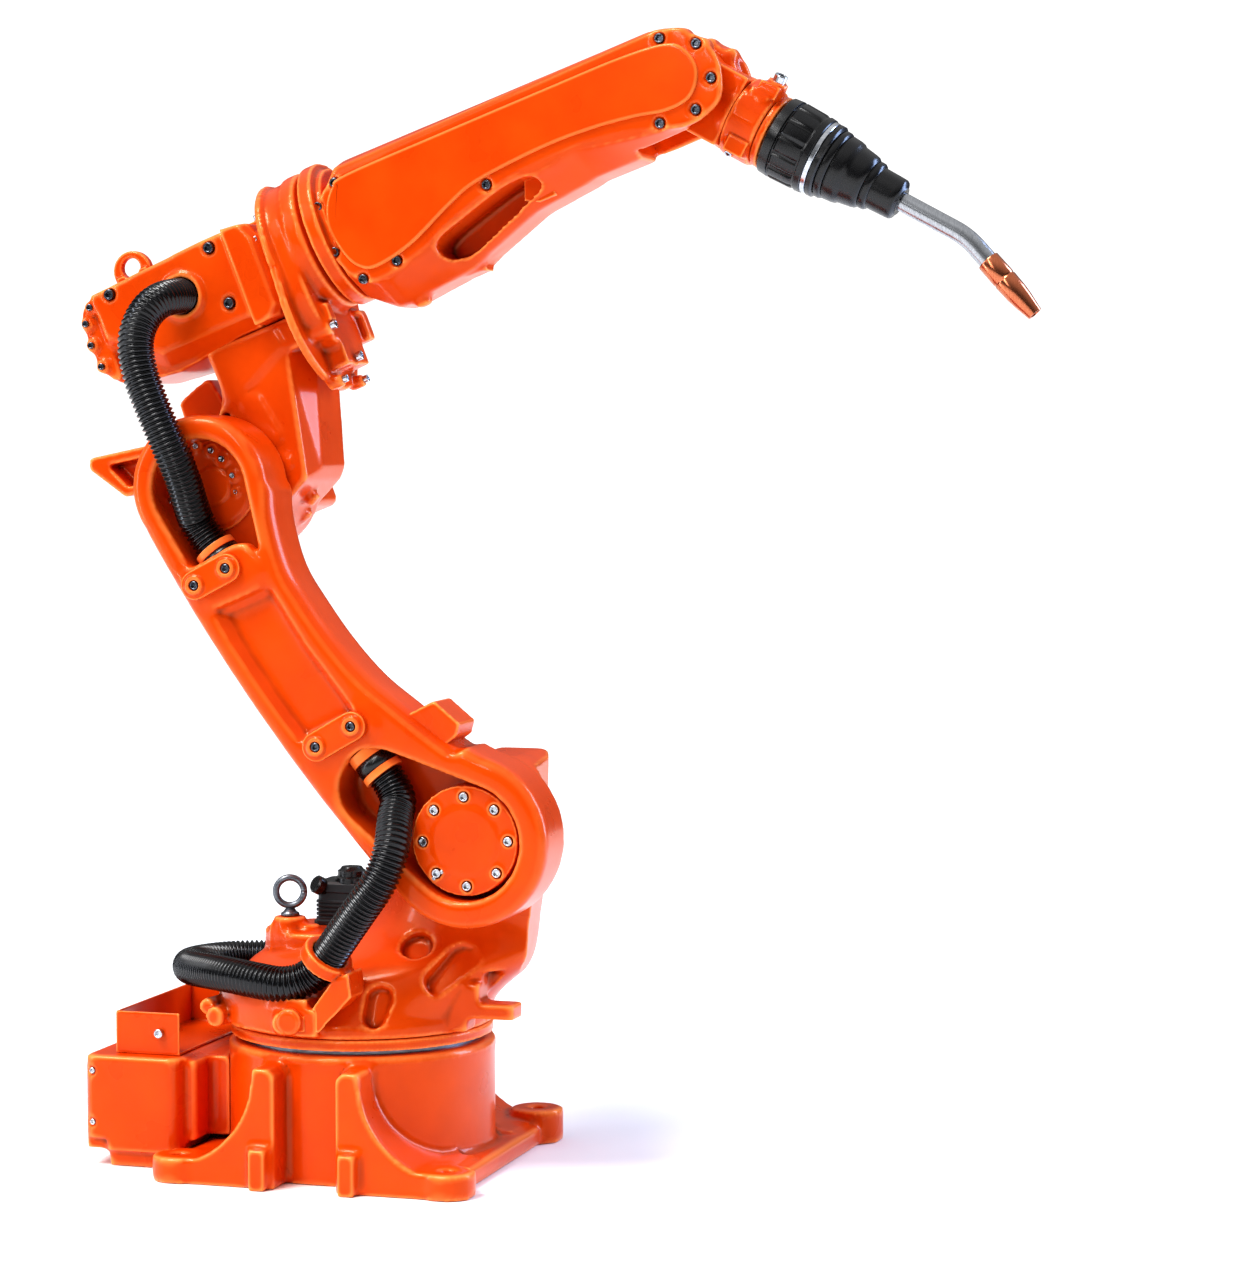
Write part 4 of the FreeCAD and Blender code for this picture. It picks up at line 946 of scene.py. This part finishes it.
# forearm: the flange, the body with its slot, screwed side plates with a raised panel
forearm = {
    "flangeGrid": (2.7, 3), "grid": (2.9, 8), "ribGrid": (1.6, 4),
    "plate": [(276, 51), (256, 45), (238, 28), (228, -8), (234, -38), (246, -64), (262, -79), (284, -80),
              (336, -70),
              (378, -53), (433, -38), (485, -31), (550, -30), (608, -38), (645, -50), (676, -59), (704, -56),
              (727, -42),
              (738, -8), (732, 20), (716, 38.2), (690, 51.2), (560, 52), (410, 52)],
    "plateFaces": (62, 73),
    "panel": [(284, 47), (262, 39), (247, 19), (242, -6), (248, -38), (260, -58), (280, -66), (328, -58),
              (388, -34),
              (430, -22), (514, -17), (577, -20), (626, -27), (664, -35), (694, -31), (712, -8), (709, 18),
              (690, 35),
              (634, 42), (540, 44), (410, 46)],
    "panelEdge": [(0, 71), (0, 74.4), (0.5, 75.6), (1.4, 76.5), (3.0, 77.0), (4.5, 77.0), (7.0, 77.0)],
    "screws": [(266, 44), (237, 26), (237, -30), (258, -72), (304, -68), (436, -29), (650, -44), (694, -46),
               (723, -20),
               (721, 22), (684, 44)],
    "bore": 7.0, "boreFaces": (80, 66), "screwAt": 67, "screwSize": 11,
    "slot": [(351, -74), (358, -87), (380, -90), (400, -85), (430, -74), (466, -61), (486, -54), (491, -46),
             (483, -38),
             (450, -39), (390, -54), (361, -63)],
    "slotFaces": [(-74, -9), (9, 74)],
    "flank": [(240, 20), (540, 20), (541, -33), (468, -42), (388, -60), (272, -83), (240, -60)],
    "flankFace": 69.5,
    "belly": [(240, 20), (540, 20), (541, -66), (468, -73), (368, -105), (274, -113), (240, -85)],
    "bellyFace": 28,
    "drain": (10, (300, -18, -100), (300, -18, -121)), "bellyNotch": (346, 384, -22, 22, -132, -108),
    "noseBosses": [(684, 47.2), (710, 38), (728, 18)], "noseBoss": 8, "noseFaces": (68, 44),
    "rib": [(470, -36), (500, -36), (500, -66), (478, -66), (462, -58)], "ribFaces": [(-40, -14), (14, 40)],
}
casting("forearm_flange_cast", "forearm", ["forearm_flange"], forearm["flangeGrid"])
plateLine = smoothOutline(forearm["plate"])
plateIn, plateOut = forearm["plateFaces"]
slotLine = smoothOutline(forearm["slot"], 4)
flank, belly = forearm["flank"], forearm["belly"]
flankFace, bellyFace = forearm["flankFace"], forearm["bellyFace"]
bodySections = ((-flankFace, flank), (-bellyFace, belly), (bellyFace, belly), (flankFace, flank))
noseOut, noseIn = forearm["noseFaces"]
boreOut, boreIn = forearm["boreFaces"]
casting("forearm_cast", "forearm", ["forearm_casting"], forearm["grid"],
        extras=[slab(plateLine, -plateOut, -plateIn), slab(plateLine, plateIn, plateOut),
                rod(*forearm["drain"]),
                ringSolid([[(x, y, z) for x, z in line] for y, line in bodySections])]
        + [rod(forearm["noseBoss"], (x, side * noseOut, z), (x, side * noseIn, z))
           for x, z in forearm["noseBosses"] for side in (-1, 1)],
        cuts=[rod(forearm["bore"], (x, side * boreOut, z), (x, side * boreIn, z))
              for x, z in forearm["screws"] for side in (-1, 1)]
        + [slab(slotLine, *faces) for faces in forearm["slotFaces"]] + [block(*forearm["bellyNotch"])])
casting("slot_ribs_cast", "forearm", [], forearm["ribGrid"],
        extras=[slab(forearm["rib"], *faces) for faces in forearm["ribFaces"]])
screws("forearm_screws", "forearm",
       [(x, side * forearm["screwAt"], z, (0, side, 0), forearm["screwSize"])
        for x, z in forearm["screws"] for side in (-1, 1)], screwSteel)


def coverPanel(name, node, side):
    outline = smoothOutline(forearm["panel"])
    turn = sum(outline[i - 1][0] * outline[i][1] - outline[i][0] * outline[i - 1][1]
               for i in range(len(outline)))
    inside = 1 if turn > 0 else -1

    def inset(amount):
        out = []
        for i, here in enumerate(outline):
            before, after = Vector(outline[i - 1]), Vector(outline[(i + 1) % len(outline)])
            along = (after - before).normalized()
            inward = Vector((-along.y, along.x)) * inside
            out.append(Vector(here) + inward * amount)
        return out

    rings = [[(p.x, side * y, p.y) for p in inset(amount)] for amount, y in forearm["panelEdge"]]
    finished(meshObject(name, ringSolid(rings), forearmFrame), "forearm", orangeEnamel, [node])


coverPanel("cover_near_panel", "cover_near", -1)
coverPanel("cover_far_panel", "cover_far", 1)
print("forearm made")

# wrist: the housing between the fork's cheeks and the clamp band that holds the torch
wrist = {
    "grid": (2.3, 6), "neck": [(0, 34), (34, 40), (44, 44), (50, 45)], "neckAt": 26,
    "bandGrid": (2.0, 4), "band": [(0, 45), (3, 46.5), (30, 46.5), (34, 45)], "bandAt": 78, "bandSides": 12,
    "bandStuds": [(8, (101, -26, 28), (101, -38, 32)), (8, (95, -26, -30), (95, -36, -40)),
                  (12, (106, -18, 26), (106, -24, 54)), (8, (95, 26, -30), (95, 36, -40))],
    "bandPads": [(88, 112, -44, -22, -40, -22), (90, 114, -36, -8, 34, 48)],
    "ringGrid": (1.8, 2), "ring": [(0, 40), (1, 42.5), (8, 43.5), (9.6, 43)], "ringAt": 114.4,
    "screws": [(95, -35, -39, (0, -0.62, -0.78), 9), (106, -23.6, 53, (0, -0.2, 0.98), 15),
               (95, 35, -39, (0, 0.62, -0.78), 9)],
}
casting("wrist_housing_cast", "wrist", ["wrist_housing"], wrist["grid"],
        extras=[turnedShape(wrist["neck"], (wrist["neckAt"], 0, 0), ahead, 64)])
casting("wrist_band_cast", "wrist", ["wrist_band"], wrist["bandGrid"],
        extras=[turnedShape(wrist["band"], (wrist["bandAt"], 0, 0), ahead, wrist["bandSides"])]
        + rods(wrist["bandStuds"]) + blocks(wrist["bandPads"]))
casting("wrist_ring_turned", "wrist", ["wrist_ring"], wrist["ringGrid"],
        extras=[turnedShape(wrist["ring"], (wrist["ringAt"], 0, 0), ahead, 80)])
screws("wrist_screws", "wrist", wrist["screws"], zincSteel)
print("wrist made")

# torch: ribbed grip nut, clip band, stepped body, steel neck and copper nozzle, turned about one axis
torch = {
    "start": 125, "pads": 14, "padSteps": 12, "grooveDepth": 2.6, "padShare": 0.66,
    "nut": [(0, 42, 0), (0.6, 44, 0), (2, 45.5, 0), (12, 46.5, 0), (13, 46.5, 0), (14, 44.6, 0),
            (15, 44.6, 0.2),
            (17, 46.6, 1), (42, 45.8, 1), (45, 44.6, 1), (46, 44.4, 0), (48, 44.6, 0), (49, 45.6, 0),
            (55, 45, 0),
            (56, 43.6, 0), (56, 41, 0)],        # distance, radius, and how much of the grooves' depth
    "band": [(0, 40), (0, 43.2), (0.6, 43.8), (5, 43.4), (5.6, 42.8), (5.6, 40)], "bandAt": 56.2,
    "body": [(0, 38), (0, 42.5), (1, 43.5), (6, 43.5), (8, 41.4), (9, 38.6), (9.6, 38.6), (10.4, 40.6),
             (15, 40.6),
             (17, 39.4), (18.4, 36.6), (19, 36.6), (20, 38.6), (30, 37.8), (34, 36.8), (37, 34.6),
             (40, 34.2),
             (52, 32.4), (56, 31.4), (59, 28.8), (60, 26.8), (60.6, 26.8), (61.6, 28.6), (66, 28.4),
             (68, 27.0),
             (69, 24.8), (92, 24.2), (97, 23.8), (99, 22.4), (100.4, 18), (102, 16.6), (102, 11.6)],
             "bodyAt": 62.3,
    # the bend's angle, its corner, and the nozzle beyond it
    "neckBend": 20, "cornerAt": 248.6, "cupAt": 35.5,
    "cup": [(0, 11.2), (0, 12.6), (1, 13.2), (26, 13.5), (27, 13.1), (28, 12.7), (29, 13.1), (30, 13.5),
            (48, 13),
            (60, 11.8), (74, 9.6), (80, 8.8), (80, 7.0), (79, 6.8), (62, 6.8)],
}


def gripNut(start):
    steps, share = torch["padSteps"], torch["padShare"]
    sides = torch["pads"] * steps
    rings = []
    for along, radius, ribbed in torch["nut"]:
        ring = []
        for i in range(sides):
            at = (i % steps) / steps
            groove = 0 if at < share else math.sin((at - share) / (1 - share) * math.pi)
            reach = radius - ribbed * torch["grooveDepth"] * groove ** 0.5
            angle = 2 * math.pi * i / sides
            ring.append((start + along, reach * math.cos(angle), reach * math.sin(angle)))
        rings.append(ring)
    return ringSolid(rings)


torchStart = torch["start"]
bend = math.radians(torch["neckBend"])
cornerX = torchStart + torch["cornerAt"]
cupPlace = (cornerX + torch["cupAt"] * math.cos(bend), 0, -torch["cupAt"] * math.sin(bend))
torchPieces = [
    ("torch_nut_moulded", gripNut(torchStart), phenolic, "torch_nut", "black_plastic", 0.6),
    ("torch_clip_band", turnedShape(torch["band"], (torchStart + torch["bandAt"], 0, 0), ahead, 96),
     zincSteel, "torch_band", "bare_steel", 0.6),
    ("torch_body_moulded", turnedShape(torch["body"], (torchStart + torch["bodyAt"], 0, 0), ahead, 96),
     phenolic, "torch_body", "black_plastic", 0.7),
    ("nozzle_spun", turnedShape(torch["cup"], cupPlace, (math.cos(bend), 0, -math.sin(bend)), 64),
     copperCup, "nozzle", "copper", 0.7),
]
for name, shape, material, node, slot, splitAngle in torchPieces:
    piece = finished(meshObject(name, shape, torchFrame), "tool", material, [node])
    modifier(piece, "EDGE_SPLIT", split_angle=splitAngle)
print("torch made")

# CAD nodes that keep their own mesh
finishes = {"slew_bearing": groundSteel, "swan_neck": drawnStainless, "contact_tip": copperCup}
for node, material in finishes.items():
    slots = frame["nodes"][node].data.materials
    for i in range(len(slots)):
        slots[i] = material


# floor, light and camera
studio = {
    "floor": ("#F9F9F9", "#FAFAFA"), "floorHalf": 9, "floorDrop": 0.0006,
    "world": 0.70, "backdrop": 1.0, "sky": [(0.0, 0.12), (0.25, 0.22), (0.8, 1.0)],
    "sun": 2.5, "sunAngle": 24, "sunFrom": (-1.4, -1.9, 4.0), "target": (0.1, 0, 0.7),
    "lamps": {      # power, size, place, colour
        "key": (16.0, (2.2, 1.6), (-2.6, -2.8, 3.0), "#FFFFFF"),
        "rim_right": (80.0, (0.8, 2.4), (2.5, 1.3, 1.5), "#B4CEFF"),
        "strip_left": (22.0, (0.25, 2.6), (-2.3, -1.4, 1.3), "#E6F0FF"),
        "strip_front": (22.0, (0.3, 2.0), (-0.4, -3.4, 2.6), "#FFFFFF"),
    },
    "cameraAt": (1.4915, -3.9263, 0.890), "cameraTurn": (90 - 3.618, 0, 16.628), "lens": 101.25,
    "sensor": 36,
}


def softLight(name, power, size, place, colour):
    light = bpy.data.lights.new(name, "AREA")
    light.shape, light.size, light.size_y = "RECTANGLE", size[0], size[1]
    light.energy = power
    light.color = toLinear(colour)[:3]
    lamp = bpy.data.objects.new(name, light)
    bpy.context.scene.collection.objects.link(lamp)
    lamp.location = place
    lamp.rotation_euler = (Vector(place) - Vector(studio["target"])).to_track_quat("Z", "Y").to_euler()


floorMesh = bpy.data.meshes.new("floor")
wide = studio["floorHalf"]
floorMesh.from_pydata([(-wide, -wide, 0), (wide, -wide, 0), (wide, wide, 0), (-wide, wide, 0)], [],
                      [(0, 1, 2, 3)])
floor = bpy.data.objects.new("floor", floorMesh)
floor.location.z = -studio["floorDrop"]
bpy.context.scene.collection.objects.link(floor)
# matt pale paint: lets the soft shadows show and adds no colour
floorMaterial, floorTree, floorOutput, floorPlace = newMaterial("pale_studio_floor")
floorGrain = addNode(floorTree, "ShaderNodeTexNoise", {"Scale": 3.0, "Detail": 2.0}, {"Vector": floorPlace})
floorStops = [(0.3, toLinear(studio["floor"][0])), (0.7, toLinear(studio["floor"][1]))]
floorTone = addNode(floorTree, "ShaderNodeValToRGB", {"stops": floorStops},
                    {"Fac": floorGrain.outputs["Fac"]}).outputs["Color"]
floorShader = addNode(floorTree, "ShaderNodeBsdfPrincipled", {"Roughness": 0.7}, {"Base Color": floorTone})
floorTree.links.new(floorShader.outputs[0], floorOutput.inputs["Surface"])
floorMesh.materials.append(floorMaterial)

world = bpy.data.worlds.new("studio")
bpy.context.scene.world = world
world.use_nodes = True
worldTree = world.node_tree
seen = addNode(worldTree, "ShaderNodeLightPath").outputs["Is Camera Ray"]
direction = addNode(worldTree, "ShaderNodeTexCoord").outputs["Generated"]
sky = addNode(worldTree, "ShaderNodeSeparateXYZ", links={0: direction})
dim = worldTree.nodes["Background"]
skyTone = addNode(worldTree, "ShaderNodeValToRGB",
                  {"stops": [(stop, grey(value)) for stop, value in studio["sky"]]},
                  {"Fac": sky.outputs["Z"]}).outputs["Color"]
worldTree.links.new(skyTone, dim.inputs["Color"])
dim.inputs["Strength"].default_value = studio["world"]
bright = addNode(worldTree, "ShaderNodeBackground", {"Color": (1, 1, 1, 1), "Strength": studio["backdrop"]})
mixed = addNode(worldTree, "ShaderNodeMixShader", links={0: seen, 1: dim.outputs[0], 2: bright.outputs[0]})
worldTree.links.new(mixed.outputs[0], worldTree.nodes["World Output"].inputs["Surface"])
sun = bpy.data.objects.new("sun", bpy.data.lights.new("sun", "SUN"))
sun.data.energy = studio["sun"]
sun.data.angle = math.radians(studio["sunAngle"])
sun.rotation_euler = Vector(studio["sunFrom"]).to_track_quat("Z", "Y").to_euler()
bpy.context.scene.collection.objects.link(sun)
for name, lamp in studio["lamps"].items():
    softLight(name, *lamp)

camera = bpy.data.objects.new("camera", bpy.data.cameras.new("camera"))
bpy.context.scene.collection.objects.link(camera)
camera.location = studio["cameraAt"]
camera.rotation_euler = [math.radians(a) for a in studio["cameraTurn"]]
camera.data.lens = studio["lens"]
camera.data.sensor_width = studio["sensor"]
bpy.context.scene.camera = camera
bpy.context.scene.view_settings.view_transform = "Standard"
bpy.context.scene.view_settings.look = "Medium High Contrast"
print("stage made")
